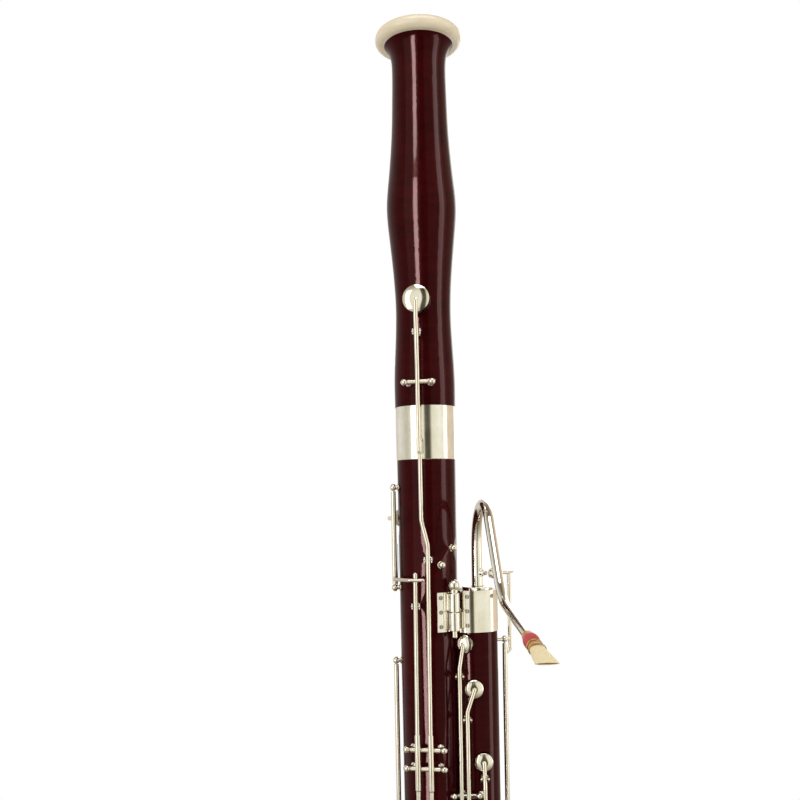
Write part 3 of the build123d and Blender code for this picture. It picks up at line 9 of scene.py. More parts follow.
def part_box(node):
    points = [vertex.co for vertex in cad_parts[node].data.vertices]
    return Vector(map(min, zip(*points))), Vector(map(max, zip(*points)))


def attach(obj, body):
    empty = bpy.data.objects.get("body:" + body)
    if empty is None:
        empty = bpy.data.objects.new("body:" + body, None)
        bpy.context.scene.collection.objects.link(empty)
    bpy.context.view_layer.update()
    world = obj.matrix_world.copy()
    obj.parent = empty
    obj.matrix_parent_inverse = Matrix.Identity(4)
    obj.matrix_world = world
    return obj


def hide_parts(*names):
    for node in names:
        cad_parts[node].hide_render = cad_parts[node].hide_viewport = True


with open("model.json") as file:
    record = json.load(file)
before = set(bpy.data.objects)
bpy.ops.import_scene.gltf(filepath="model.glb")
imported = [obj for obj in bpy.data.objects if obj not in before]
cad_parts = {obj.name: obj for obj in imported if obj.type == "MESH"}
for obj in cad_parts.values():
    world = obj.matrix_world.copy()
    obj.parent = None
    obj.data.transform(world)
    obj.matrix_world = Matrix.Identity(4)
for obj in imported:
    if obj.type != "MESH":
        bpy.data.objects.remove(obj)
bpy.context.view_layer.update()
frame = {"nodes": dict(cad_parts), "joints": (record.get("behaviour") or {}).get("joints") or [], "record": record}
nodes = frame["nodes"]
MM = 0.001


# ---------------------------------------------------------------- node materials
class Shader:
    """A Principled material whose varied inputs come from procedural nodes in object space."""

    def __init__(self, name, metallic=0.0, **fixed):
        self.material = bpy.data.materials.new(name)
        self.material.use_nodes = True
        self.tree = self.material.node_tree
        self.surface = self.tree.nodes["Principled BSDF"]
        self.surface.inputs["Metallic"].default_value = metallic
        for socket, value in fixed.items():
            self.surface.inputs[socket.replace("_", " ")].default_value = value
        self.place = self.add("ShaderNodeTexCoord").outputs["Object"]

    def add(self, kind, **settings):
        node = self.tree.nodes.new(kind)
        for key, value in settings.items():
            setattr(node, key, value)
        return node

    def link(self, output, target):
        self.tree.links.new(output, target)

    def stretched(self, scale):
        """Object coordinates in metres times a scale for each axis."""
        mapping = self.add("ShaderNodeMapping")
        mapping.inputs["Scale"].default_value = scale
        self.link(self.place, mapping.inputs["Vector"])
        return mapping.outputs["Vector"]

    def noise(self, scale, detail=4.0, roughness=0.55, distortion=0.0):
        """Fractal noise; the scale is in cycles per metre along x, y and z."""
        node = self.add("ShaderNodeTexNoise")
        node.inputs["Scale"].default_value = 1.0
        node.inputs["Detail"].default_value = detail
        node.inputs["Roughness"].default_value = roughness
        node.inputs["Distortion"].default_value = distortion
        self.link(self.stretched(scale), node.inputs["Vector"])
        return node.outputs["Fac"]

    def cells(self, scale):
        """Distance to the nearest cell centre, for specks and pores."""
        node = self.add("ShaderNodeTexVoronoi")
        node.inputs["Scale"].default_value = 1.0
        self.link(self.stretched(scale), node.inputs["Vector"])
        return node.outputs["Distance"]

    def height(self, axis):
        """One object coordinate in metres."""
        node = self.add("ShaderNodeSeparateXYZ")
        self.link(self.place, node.inputs["Vector"])
        return node.outputs[axis]

    def ramp(self, value, stops):
        """A colour ramp through (position, (r, g, b)) stops."""
        node = self.add("ShaderNodeValToRGB")
        elements = node.color_ramp.elements
        while len(elements) < len(stops):
            elements.new(0.5)
        for element, (position, colour) in zip(elements, stops):
            element.position = position
            element.color = (*colour, 1.0)
        self.link(value, node.inputs["Fac"])
        return node.outputs["Color"]

    def span(self, value, low, high, to_low, to_high):
        """The value mapped and clamped from one range to another."""
        node = self.add("ShaderNodeMapRange")
        limits = {"From Min": low, "From Max": high, "To Min": to_low, "To Max": to_high}
        for socket, number in limits.items():
            node.inputs[socket].default_value = number
        self.link(value, node.inputs["Value"])
        return node.outputs["Result"]

    def mix(self, factor, first, second, blend="MIX"):
        """Two colours mixed by a factor, which may be a number."""
        node = self.add("ShaderNodeMix", data_type="RGBA", blend_type=blend)
        for socket, value in (("Factor", factor), ("A", first), ("B", second)):
            target = next(s for s in node.inputs if s.name == socket and s.enabled)
            if isinstance(value, (float, int)):
                target.default_value = value
            elif isinstance(value, tuple):
                target.default_value = (*value, 1.0)
            else:
                self.link(value, target)
        return next(s for s in node.outputs if s.enabled)

    def colour(self, output):
        self.link(output, self.surface.inputs["Base Color"])

    def roughness(self, output):
        self.link(output, self.surface.inputs["Roughness"])

    def bump(self, output, depth, under=None):
        """Relief of the given depth in metres, on top of an earlier bump if there is one."""
        node = self.add("ShaderNodeBump")
        node.inputs["Distance"].default_value = depth
        node.inputs["Strength"].default_value = 1.0
        self.link(output, node.inputs["Height"])
        if under:
            self.link(under, node.inputs["Normal"])
        self.link(node.outputs["Normal"], self.surface.inputs["Normal"])
        return node.outputs["Normal"]


def lacquered_maple():
    """Dark wine-red stained maple under a thin glossy lacquer, with faint flame across the grain."""
    shader = Shader(
        "lacquered_maple",
        Specular_IOR_Level=0.05,
        Specular_Tint=(1.0, 0.50, 0.48, 1.0),
        Coat_Weight=0.2,
        Coat_IOR=1.25,
        Coat_Roughness=0.04,
    )
    grain = shader.noise((520, 520, 14), 6, 0.6, 0.4)
    flame = shader.noise((45, 45, 130), 3, 0.5, 1.2)
    cloud = shader.noise((22, 22, 9), 3)
    stain = shader.ramp(flame, [(0.25, (0.020, 0.0010, 0.0016)), (0.75, (0.048, 0.0024, 0.0032))])
    deep = shader.ramp(grain, [(0.3, (0.42, 0.38, 0.38)), (0.62, (1.0, 1.0, 1.0))])
    shaded = shader.mix(0.55, stain, deep, "MULTIPLY")
    shader.colour(shader.mix(shader.span(cloud, 0.3, 0.75, 0.0, 0.5), shaded, (0.080, 0.0034, 0.0046)))
    shader.roughness(shader.span(grain, 0.2, 0.8, 0.11, 0.19))
    orange_peel = shader.bump(shader.noise((150, 150, 60), 2), 0.00002)
    shader.bump(grain, 0.000006, orange_peel)
    return shader.material


def plated(name, bright, shade, smooth, rough):
    """Polished nickel plating with hazy patches, fine scratches and slightly darker spots."""
    shader = Shader(name, metallic=1.0)
    haze = shader.noise((90, 90, 60), 4, 0.6)
    spots = shader.noise((900, 900, 900), 3, 0.7)
    scratch = shader.noise((2600, 2600, 220), 2, 0.5, 2.0)
    tint = shader.ramp(haze, [(0.3, shade), (0.62, bright)])
    wear = shader.ramp(spots, [(0.28, (0.72, 0.67, 0.58)), (0.40, (1.0, 1.0, 1.0))])
    shader.colour(shader.mix(0.5, tint, wear, "MULTIPLY"))
    shader.roughness(shader.span(haze, 0.25, 0.8, smooth, rough))
    shader.bump(scratch, 0.0000022)
    return shader.material


def ivory():
    """The bell ring's cream-white plastic, a little yellowed in its streaks."""
    shader = Shader(
        "ivory_ring",
        Subsurface_Weight=0.12,
        Subsurface_Scale=0.002,
        Coat_Weight=0.5,
        Coat_Roughness=0.08,
    )
    streak = shader.noise((60, 60, 320), 5, 0.6, 0.7)
    fleck = shader.noise((700, 700, 700), 3)
    base = shader.ramp(streak, [(0.3, (0.86, 0.73, 0.50)), (0.7, (0.94, 0.84, 0.64))])
    shader.colour(shader.mix(shader.span(fleck, 0.55, 0.75, 0.0, 0.25), base, (0.62, 0.47, 0.28)))
    shader.roughness(shader.span(fleck, 0.3, 0.7, 0.2, 0.34))
    shader.bump(fleck, 0.00001)
    return shader.material


def cork():
    """Waxed tenon cork: warm brown with dark pores."""
    shader = Shader("cork")
    pores = shader.cells((900, 900, 620))
    patch = shader.noise((420, 420, 300), 5, 0.65)
    base = shader.ramp(patch, [(0.3, (0.30, 0.15, 0.065)), (0.7, (0.56, 0.34, 0.17))])
    shader.colour(shader.mix(shader.span(pores, 0.0, 0.22, 0.8, 0.0), base, (0.10, 0.045, 0.02)))
    shader.roughness(shader.span(patch, 0.2, 0.8, 0.55, 0.85))
    shader.bump(pores, 0.00012)
    return shader.material


def cane():
    """Reed cane: orange-brown glossy bark on the tube, pale scraped blades with fine grain."""
    shader = Shader("reed_cane", Subsurface_Weight=0.15, Subsurface_Scale=0.001)
    low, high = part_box("reed_blades")
    length = high.y - low.y
    fibres = shader.noise((2600, 40, 2600), 4, 0.6)
    patch = shader.noise((160, 60, 160), 3)
    blade = shader.ramp(fibres, [(0.3, (0.80, 0.60, 0.28)), (0.65, (0.95, 0.83, 0.55))])
    bark = shader.ramp(patch, [(0.3, (0.44, 0.20, 0.05)), (0.7, (0.72, 0.40, 0.12))])
    along = shader.height("Y")
    bark_share = 0.46
    blend = 0.8 * MM
    edge = low.y + bark_share * length
    scraped = shader.span(along, edge - blend, edge + blend, 1.0, 0.0)
    shader.colour(shader.mix(scraped, bark, blade))
    shader.roughness(shader.span(scraped, 0.0, 1.0, 0.28, 0.62))
    shader.bump(fibres, 0.00003)
    return shader.material


def thread():
    """Waxed crimson winding thread with twisted strands."""
    shader = Shader("reed_thread", Sheen_Weight=0.4, Coat_Weight=0.35, Coat_Roughness=0.3)
    strand = shader.noise((2400, 2400, 2400), 3, 0.6, 1.5)
    patch = shader.noise((260, 260, 260), 3)
    base = shader.ramp(strand, [(0.3, (0.42, 0.008, 0.016)), (0.7, (0.78, 0.035, 0.05))])
    shader.colour(shader.mix(shader.span(patch, 0.4, 0.8, 0.0, 0.35), base, (0.30, 0.01, 0.02)))
    shader.roughness(shader.span(strand, 0.2, 0.8, 0.42, 0.7))
    shader.bump(strand, 0.00008)
    return shader.material


def brass_wire():
    """Drawn brass wire, dull gold with darker patches."""
    shader = Shader("brass_wire", metallic=1.0)
    patch = shader.noise((700, 700, 700), 4, 0.6)
    shader.colour(shader.ramp(patch, [(0.3, (0.36, 0.22, 0.07)), (0.65, (0.80, 0.58, 0.25))]))
    shader.roughness(shader.span(patch, 0.2, 0.8, 0.22, 0.45))
    shader.bump(patch, 0.00001)
    return shader.material


def steel(name, light, dark):
    """Turned or drawn steel with fine machining streaks."""
    shader = Shader(name, metallic=1.0)
    streak = shader.noise((1500, 1500, 300), 4, 0.6, 0.5)
    shader.colour(shader.ramp(streak, [(0.3, dark), (0.7, light)]))
    shader.roughness(shader.span(streak, 0.2, 0.8, 0.2, 0.4))
    shader.bump(streak, 0.000004)
    return shader.material


def kid_leather():
    """The pads' pale kid leather with a fine grain."""
    shader = Shader("kid_leather", Sheen_Weight=0.2)
    grain = shader.cells((2600, 2600, 2600))
    patch = shader.noise((300, 300, 300), 4)
    base = shader.ramp(patch, [(0.3, (0.66, 0.55, 0.40)), (0.7, (0.86, 0.78, 0.64))])
    shader.colour(shader.mix(shader.span(grain, 0.0, 0.3, 0.35, 0.0), base, (0.40, 0.31, 0.21)))
    shader.roughness(shader.span(patch, 0.2, 0.8, 0.55, 0.75))
    shader.bump(grain, 0.00004)
    return shader.material


def paper():
    """The pale floor under the instrument, faintly uneven."""
    shader = Shader("pale_floor")
    patch = shader.noise((6, 6, 6), 3)
    shader.colour(shader.ramp(patch, [(0.3, (0.86, 0.86, 0.85)), (0.7, (0.90, 0.90, 0.89))]))
    shader.roughness(shader.span(patch, 0.2, 0.8, 0.7, 0.85))
    return shader.material


MAPLE = lacquered_maple()
NICKEL = plated("nickel_keywork", (0.96, 0.92, 0.83), (0.84, 0.78, 0.66), 0.08, 0.18)
BAND = plated("nickel_bands", (0.95, 0.92, 0.85), (0.82, 0.78, 0.68), 0.10, 0.2)
BOCAL_METAL = plated("nickel_bocal", (0.96, 0.94, 0.88), (0.85, 0.81, 0.72), 0.06, 0.13)
IVORY = ivory()
CORK = cork()
CANE = cane()
THREAD = thread()
WIRE = brass_wire()
PIN_STEEL = steel("pin_steel", (0.72, 0.71, 0.70), (0.46, 0.45, 0.44))
BLUE_STEEL = steel("blued_spring_steel", (0.10, 0.14, 0.26), (0.03, 0.045, 0.09))
LEATHER = kid_leather()
SCREW_STEEL = steel("dull_screw_steel", (0.40, 0.36, 0.30), (0.20, 0.17, 0.13))

FINISHES = {
    "lacquered_maple": MAPLE,
    "white_ring": IVORY,
    "cork": CORK,
    "cane": CANE,
    "reed_wire": WIRE,
    "thread": THREAD,
    "steel": PIN_STEEL,
    "plated_keywork": NICKEL,
}
OWN_FINISH = {
    "bell_ferrule": BAND,
    "boot_cap": BAND,
    "boot_top_band": BAND,
    "wing_lock_band": BAND,
    "long_lock_plate": BAND,
    "bocal_receiver": BAND,
    "bocal": BOCAL_METAL,
    "bocal_pip": BOCAL_METAL,
    "lock_screws": SCREW_STEEL,
}


def islands(mesh):
    """The connected pieces of a mesh, each a list of face indices."""
    form = bmesh.new()
    form.from_mesh(mesh)
    cell = 0.002 * MM
    owner = list(range(len(form.verts)))

    def root(i):
        while owner[i] != i:
            owner[i] = owner[owner[i]]
            i = owner[i]
        return i

    seen = {}
    for vertex in form.verts:
        key = tuple(round(c / cell) for c in vertex.co)
        if key in seen:
            owner[root(vertex.index)] = root(seen[key])
        seen[key] = vertex.index
    for face in form.faces:
        first = root(face.verts[0].index)
        for vertex in face.verts[1:]:
            owner[root(vertex.index)] = first
    groups = {}
    for face in form.faces:
        groups.setdefault(root(face.verts[0].index), []).append(face.index)
    form.free()
    return list(groups.values())


def island_corners(mesh, faces):
    """The points of one connected piece."""
    return [mesh.vertices[i].co for f in faces for i in mesh.polygons[f].vertices]


def paint_nodes():
    """Gives every CAD node its finish, and the pads in the keys their leather."""
    slot_of = {entry["node"]: entry["material_slot"] for entry in frame["record"]["subparts"]}
    for name, node in nodes.items():
        finish = OWN_FINISH.get(name, FINISHES[slot_of[name]])
        node.data.materials.clear()
        node.data.materials.append(finish)
        if name.endswith("_key"):
            groups = sorted(islands(node.data), key=len)
            if len(groups) > 1:
                node.data.materials.append(LEATHER)
                for index in [f for group in pad_groups(node.data, groups) for f in group]:
                    node.data.polygons[index].material_index = 1


def pad_groups(mesh, groups):
    """A key's pads: every connected piece but the one with the largest extent."""

    def extent(faces):
        points = island_corners(mesh, faces)
        spans = [max(p[k] for p in points) - min(p[k] for p in points) for k in range(3)]
        return max(spans)

    largest = max(groups, key=extent)
    return [group for group in groups if group is not largest]


paint_nodes()


# ---------------------------------------------------------------- mesh helpers
def piece_from(form, name, body, material):
    """A new piece from a bmesh, riding on a body."""
    mesh = bpy.data.meshes.new(name)
    form.to_mesh(mesh)
    form.free()
    for face in mesh.polygons:
        face.use_smooth = True
    piece = bpy.data.objects.new(name, mesh)
    bpy.context.scene.collection.objects.link(piece)
    mesh.materials.append(material)
    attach(piece, body)
    return piece


def sharpen(piece, angle=35):
    """Keeps edges sharper than the angle crisp."""
    limit = radians(angle)
    form = bmesh.new()
    form.from_mesh(piece.data)
    for edge in form.edges:
        edge.smooth = len(edge.link_faces) == 2 and edge.calc_face_angle(0) < limit
    form.to_mesh(piece.data)
    form.free()
    return piece


def frame_along(direction):
    """A rotation that takes +Z to the direction."""
    return direction.to_track_quat("Z", "Y").to_matrix().to_4x4()


def tube(form, points, radii, sides=10, closed=False):
    """A tube of changing radius along a polyline, capped unless it is closed."""
    rings = []
    count = len(points)
    normal = None
    for i, point in enumerate(points):
        before = points[(i - 1) % count] if closed or i else point
        after = points[(i + 1) % count] if closed or i < count - 1 else point
        tangent = (after - before).normalized()
        if normal is None:
            normal = tangent.orthogonal().normalized()
        normal = (normal - tangent * normal.dot(tangent)).normalized()
        side = tangent.cross(normal)
        ring = []
        for k in range(sides):
            angle = 2 * pi * k / sides
            ring.append(form.verts.new(point + (normal * cos(angle) + side * sin(angle)) * radii[i]))
        rings.append(ring)
    pairs = list(zip(rings, rings[1:]))
    if closed:
        pairs.append((rings[-1], rings[0]))
    for lower, upper in pairs:
        for k in range(sides):
            j = (k + 1) % sides
            form.faces.new((lower[k], lower[j], upper[j], upper[k]))
    if not closed:
        form.faces.new(list(reversed(rings[0])))
        form.faces.new(rings[-1])


SLOT_SHARE = 0.16
HEAD_TAPER = 0.95


def slotted_head(form, centre, direction, radius, turn):
    """A small cheese-head screw with a real slot, facing along the direction."""
    place = Matrix.Translation(centre) @ frame_along(direction) @ Matrix.Rotation(turn, 4, "Z")
    steps = 14
    sides = 2 * steps
    gap = SLOT_SHARE * radius
    low, slot_floor, top = -0.45 * MM, -0.08 * MM, 0.16 * MM
    angles = [2 * pi * k / sides for k in range(sides)]
    disc = [(radius * cos(a), radius * sin(a)) for a in angles]
    outlines = [(disc, low, slot_floor)]
    for side in (1, -1):
        reach = sqrt(radius**2 - gap**2)
        first = Vector((gap, -reach)).angle_signed(Vector((1, 0)))
        arc = [first * (1 - 2 * k / steps) for k in range(steps + 1)]
        half = [(side * radius * cos(a), side * radius * sin(a)) for a in arc]
        outlines.append((half, slot_floor, top))
    for outline, z0, z1 in outlines:
        lower = [form.verts.new(place @ Vector((x, y, z0))) for x, y in outline]
        narrowed = [(x * HEAD_TAPER, y * HEAD_TAPER) for x, y in outline]
        upper = [form.verts.new(place @ Vector((x, y, z1))) for x, y in narrowed]
        count = len(outline)
        for k in range(count):
            j = (k + 1) % count
            form.faces.new((lower[k], lower[j], upper[j], upper[k]))
        form.faces.new(upper)
        form.faces.new(list(reversed(lower)))


END_DEPTH = 0.4 * MM


def pin_ends(node):
    """The two ends of every hinge pin in a node."""
    mesh = nodes[node].data
    ends = []
    for faces in islands(mesh):
        points = island_corners(mesh, faces)
        middle = sum(points, Vector()) / len(points)
        far = max(points, key=lambda p: (p - middle).length)
        axis = (far - middle).normalized()
        reach = max((p - middle).dot(axis) for p in points)
        low = min(points, key=lambda p: (p - middle).dot(axis))
        near = [p for p in points if (p - middle).dot(axis) > reach - END_DEPTH]
        start = [p for p in points if (p - middle).dot(axis) < (low - middle).dot(axis) + END_DEPTH]
        ends.append((sum(start, Vector()) / len(start), sum(near, Vector()) / len(near)))
    return ends


# ---------------------------------------------------------------- screw heads and needle springs
BALL_COVER = 0.52 * MM
HEAD_RADIUS = 1.25 * MM
JOINT_X = 19 * MM
SPRING_SHARE = 0.62
SPRING_LONGEST = 34 * MM
SPRING_STEPS = 6
SPRING_BOW = 0.35 * MM
PIN_NODES = {
    "bell_key_pin": "bell_section",
    "long_joint_pins": "instrument",
    "wing_joint_pins": "instrument",
    "boot_pins": "instrument",
}


def pivot_screws():
    """A slotted head in the outer end of every ball post."""
    for node, body in PIN_NODES.items():
        form = bmesh.new()
        for number, (start, end) in enumerate(pin_ends(node)):
            direction = (end - start).normalized()
            slotted_head(form, start - direction * BALL_COVER, -direction, HEAD_RADIUS, 0.7 * number)
            slotted_head(form, end + direction * BALL_COVER, direction, HEAD_RADIUS, 0.4 + 1.1 * number)
        bmesh.ops.recalc_face_normals(form, faces=form.faces)
        sharpen(piece_from(form, node + "_heads", body, PIN_STEEL))


def needle_springs():
    """A blued needle spring beside every hinge, running from one ball post along the tube."""
    for node, body in PIN_NODES.items():
        form = bmesh.new()
        for start, end in pin_ends(node):
            direction = (end - start).normalized()
            middle = (start + end) / 2
            axis_x = -JOINT_X if middle.x < 0 else JOINT_X
            inward = Vector((axis_x - middle.x, -middle.y, 0)).normalized()
            inward = (inward - direction * inward.dot(direction)).normalized()
            length = min((end - start).length * SPRING_SHARE, SPRING_LONGEST)
            first = start + direction * 2.0 * MM + inward * 1.7 * MM
            last = first + direction * length + inward * 0.9 * MM
            points = []
            for k in range(SPRING_STEPS + 1):
                share = k / SPRING_STEPS
                points.append(first.lerp(last, share) + inward * SPRING_BOW * sin(pi * share))
            tube(form, points, [0.34 * MM - 0.03 * MM * k for k in range(SPRING_STEPS + 1)], 8)
        bmesh.ops.recalc_face_normals(form, faces=form.faces)
        piece_from(form, node + "_springs", body, BLUE_STEEL)


pivot_screws()
needle_springs()


# ---------------------------------------------------------------- the reed's winding and wires
def reed_frame():
    """Where the reed's binding starts, the reed's direction and two cross directions."""
    joint = next(j for j in frame["joints"] if j["name"] == "reed_pull")
    along = Vector(joint["axis"]).normalized()
    across = Vector((0, 0, 1)).cross(along).normalized()
    mesh = nodes["reed_binding"].data
    start = min((v.co for v in mesh.vertices), key=lambda p: p.dot(along))
    low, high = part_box("reed_binding")
    middle = (low + high) / 2
    base = middle + along * (start - middle).dot(along)
    return base, along, across, across.cross(along)


def reed_point(distance, angle, half_width, half_thick):
    """A point round the reed at a distance from the start of its binding."""
    base, along, across, up = reed_frame()
    return base + along * distance + across * half_width * cos(angle) + up * half_thick * sin(angle)


def turban():
    """The binding, wound from one thread over a rounded core."""
    form = bmesh.new()
    turns = 18
    steps = 26 * turns
    thickness = 0.37 * MM
    along = reed_frame()[1]
    reach = [v.co.dot(along) for v in nodes["reed_binding"].data.vertices]
    length = max(reach) - min(reach) - 2 * thickness

    def swell(share):
        return (3.7 + 0.83 * sin(pi * min(1.0, share)) ** 0.7) * MM

    points = []
    for i in range(steps + 1):
        share = i / steps
        radius = swell(share)
        points.append(reed_point(thickness + share * length, 2 * pi * turns * share, radius, radius))
    tube(form, points, [thickness] * len(points), 8)
    core = [reed_point(thickness + k / 20 * length, 0, 0, 0) for k in range(21)]
    tube(form, core, [swell(k / 20) for k in range(21)], 40)
    bmesh.ops.recalc_face_normals(form, faces=form.faces)
    piece = piece_from(form, "reed_turban", "reed", THREAD)
    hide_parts("reed_binding")


def wire_ties():
    """Brass wires, each wound round the reed and twisted off at the side."""
    form = bmesh.new()
    thickness = 0.3 * MM
    mesh = nodes["reed_wires"].data
    base, along, across, up = reed_frame()
    for faces in islands(mesh):
        points = island_corners(mesh, faces)
        distances = [(p - base).dot(along) for p in points]
        width = max(abs((p - base).dot(across)) for p in points) - thickness
        thick = max(abs((p - base).dot(up)) for p in points) - thickness
        middle = (min(distances) + max(distances)) / 2
        wound = []
        for i in range(97):
            share = i / 96
            wound.append(reed_point(middle + (share - 0.5) * 1.3 * MM, 4 * pi * share, width, thick))
        tube(form, wound, [thickness] * len(wound), 8)
        for strand in (0, pi):
            twist = []
            for i in range(25):
                share = i / 24
                angle = 5 * pi * share + strand
                spiral = Vector((cos(angle), sin(angle), 0)) * thickness
                out = reed_point(middle, 0.0, width, 0) - along * 0.2 * MM
                lean = up * (thick * 0.55 * share) + along * 2.4 * MM * share
                twist.append(out + lean + across * spiral.x * 0.9 + up * spiral.y * 0.9)
            tube(form, twist, [thickness * 0.9] * len(twist), 8)
    bmesh.ops.recalc_face_normals(form, faces=form.faces)
    piece = piece_from(form, "reed_wire_ties", "reed", WIRE)
    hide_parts("reed_wires")


turban()
wire_ties()


# ---------------------------------------------------------------- floor, light and camera
def floor():
    """A plain pale round floor."""
    form = bmesh.new()
    radius = 1.15
    sides = 96
    angles = [2 * pi * k / sides for k in range(sides)]
    form.faces.new([form.verts.new((radius * cos(a), radius * sin(a), 0)) for a in angles])
    mesh = bpy.data.meshes.new("floor")
    form.to_mesh(mesh)
    form.free()
    disc = bpy.data.objects.new("floor", mesh)
    bpy.context.scene.collection.objects.link(disc)
    mesh.materials.append(paper())
    disc.visible_glossy = False


def soft_light(name, bearing, distance, height, size, brightness, colour, only_on=None):
    """A softbox facing the instrument from a bearing, 0 being the thumb side.

    With only_on, a collection, it lights just those pieces and only by reflection.
    """
    place = Vector((distance * sin(radians(bearing)), -distance * cos(radians(bearing)), height))
    data = bpy.data.lights.new(name, "AREA")
    data.shape = "RECTANGLE"
    data.size, data.size_y = size
    data.energy = brightness * pi * size[0] * size[1]
    data.color = colour
    lamp = bpy.data.objects.new(name, data)
    lamp.location = place
    lamp.rotation_euler = (LIGHT_TARGET - place).to_track_quat("-Z", "Y").to_euler()
    if only_on:
        lamp.visible_diffuse = False
        lamp.light_linking.receiver_collection = only_on
    bpy.context.scene.collection.objects.link(lamp)


LIGHT_TARGET = Vector((0.0, 0.0, 0.95))
OLIVE = (0.085, 0.075, 0.045)
DIM = (0.20, 0.16, 0.11)
SURROUND = [
    (-180, (0.62, 0.57, 0.50)),
    (-120, (0.86, 0.84, 0.80)),
    (-80, (0.60, 0.58, 0.48)),
    (-50, (0.80, 0.78, 0.66)),
    (-9, (1.0, 0.99, 0.90)),
    (-5, OLIVE),
    (15, OLIVE),
    (22, (0.88, 0.86, 0.70)),
    (55, (1.0, 1.0, 0.88)),
    (95, (0.86, 0.72, 0.58)),
    (180, (0.62, 0.57, 0.50)),
]


def reflected_surround(tree):
    """What glossy surfaces reflect: a cream room, dim above and below, with a dark upright gap."""
    place = tree.nodes.new("ShaderNodeTexCoord")
    split = tree.nodes.new("ShaderNodeSeparateXYZ")
    flip = tree.nodes.new("ShaderNodeMath")
    flip.operation = "MULTIPLY"
    flip.inputs[1].default_value = -1.0
    bearing = tree.nodes.new("ShaderNodeMath")
    bearing.operation = "ARCTAN2"
    share = tree.nodes.new("ShaderNodeMapRange")
    share.inputs["From Min"].default_value = -pi
    share.inputs["From Max"].default_value = pi
    ramp = tree.nodes.new("ShaderNodeValToRGB")
    stops = ramp.color_ramp.elements
    for end, (_, colour) in ((stops[0], SURROUND[0]), (stops[1], SURROUND[-1])):
        end.color = (*colour, 1.0)
    for angle, colour in SURROUND[1:-1]:
        stops.new((angle + 180) / 360).color = (*colour, 1.0)
    tree.links.new(place.outputs["Generated"], split.inputs["Vector"])
    tree.links.new(split.outputs["Y"], flip.inputs[0])
    tree.links.new(split.outputs["X"], bearing.inputs[0])
    tree.links.new(flip.outputs["Value"], bearing.inputs[1])
    tree.links.new(bearing.outputs["Value"], share.inputs["Value"])
    tree.links.new(share.outputs["Result"], ramp.inputs["Fac"])
    level = tree.nodes.new("ShaderNodeValToRGB")
    level.color_ramp.elements[0].color = (*DIM, 1.0)
    level.color_ramp.elements[1].color = (*DIM, 1.0)
    for height in (0.36, 0.72):
        level.color_ramp.elements.new(height).color = (1.0, 1.0, 1.0, 1.0)
    rise = tree.nodes.new("ShaderNodeMapRange")
    rise.inputs["From Min"].default_value = -1.0
    tree.links.new(split.outputs["Z"], rise.inputs["Value"])
    tree.links.new(rise.outputs["Result"], level.inputs["Fac"])
    both = tree.nodes.new("ShaderNodeMix")
    both.data_type = "RGBA"
    both.blend_type = "MULTIPLY"
    both.inputs["Factor"].default_value = 1.0
    sockets = [socket for socket in both.inputs if socket.type == "RGBA"]
    tree.links.new(ramp.outputs["Color"], sockets[0])
    tree.links.new(level.outputs["Color"], sockets[1])
    return next(socket for socket in both.outputs if socket.type == "RGBA")


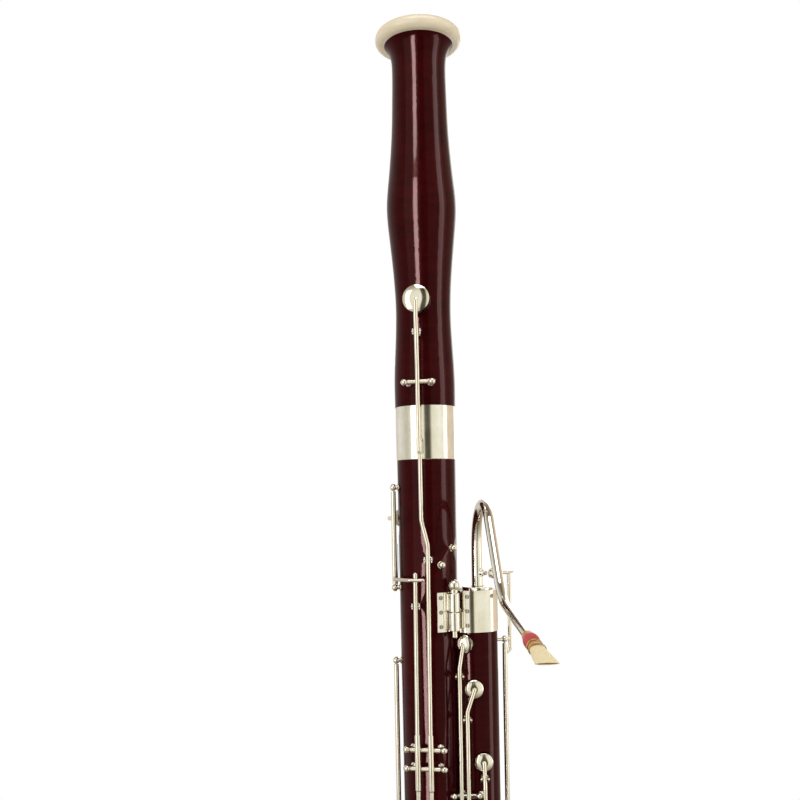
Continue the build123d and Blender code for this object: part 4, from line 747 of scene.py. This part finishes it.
def studio():
    """Separate surrounds for camera, glossy and diffuse rays, four softboxes and two lacquer streaks."""
    world = bpy.data.worlds.new("studio")
    bpy.context.scene.world = world
    world.use_nodes = True
    tree = world.node_tree
    tree.nodes.clear()
    output = tree.nodes.new("ShaderNodeOutputWorld")
    path = tree.nodes.new("ShaderNodeLightPath")
    layers = []
    diffuse, glossy, seen = ((0.98, 0.97, 0.95), 0.62), (None, 0.95), ((1.0, 1.0, 1.0), 1.0)
    for colour, strength in (diffuse, glossy, seen):
        layer = tree.nodes.new("ShaderNodeBackground")
        layer.inputs["Strength"].default_value = strength
        if colour:
            layer.inputs["Color"].default_value = (*colour, 1.0)
        else:
            tree.links.new(reflected_surround(tree), layer.inputs["Color"])
        layers.append(layer.outputs["Background"])
    below = layers[0]
    for ray, layer in (("Is Glossy Ray", layers[1]), ("Is Camera Ray", layers[2])):
        chooser = tree.nodes.new("ShaderNodeMixShader")
        tree.links.new(path.outputs[ray], chooser.inputs["Fac"])
        tree.links.new(below, chooser.inputs[1])
        tree.links.new(layer, chooser.inputs[2])
        below = chooser.outputs["Shader"]
    tree.links.new(below, output.inputs["Surface"])
    lacquered = bpy.data.collections.new("lacquered")
    for name in ("bell", "long_joint", "wing_joint", "boot_joint"):
        lacquered.objects.link(nodes[name])
    soft_light("streak_strip", -22, 1.9, 1.0, (0.46, 2.6), 62.0, (1.0, 0.90, 0.88), only_on=lacquered)
    soft_light("right_strip", 68, 1.7, 1.05, (0.6, 2.4), 9.0, (1.0, 0.92, 0.90), only_on=lacquered)
    soft_light("left_box", -48, 1.9, 1.25, (0.8, 2.2), 1.1, (1.0, 0.97, 0.95))
    soft_light("right_box", 80, 1.8, 1.2, (0.5, 2.0), 0.9, (1.0, 0.98, 0.96))
    soft_light("back_box", 160, 2.0, 1.4, (1.2, 2.0), 1.2, (0.97, 0.98, 1.0))
    soft_light("top_box", 10, 0.7, 2.6, (1.4, 1.0), 2.2, (1.0, 1.0, 1.0))


CAMERA_PLACE = Vector((-0.040, -0.734, 0.968))
CAMERA_LENS = 42.3
CAMERA_ROLL = radians(-1.1)
CAMERA_RISE = 0.119


def camera():
    """A level camera at the bell end, with the frame raised and a slight roll."""
    data = bpy.data.cameras.new("camera")
    data.sensor_width = 36.0
    data.lens = CAMERA_LENS
    data.shift_y = CAMERA_RISE
    data.clip_start = 0.02
    data.clip_end = 30.0
    eye = bpy.data.objects.new("camera", data)
    eye.matrix_world = (
        Matrix.Translation(CAMERA_PLACE)
        @ Matrix.Rotation(radians(90), 4, "X")
        @ Matrix.Rotation(CAMERA_ROLL, 4, "Z")
    )
    bpy.context.scene.collection.objects.link(eye)
    bpy.context.scene.camera = eye
    bpy.context.scene.view_settings.view_transform = "Standard"


floor()
studio()
camera()
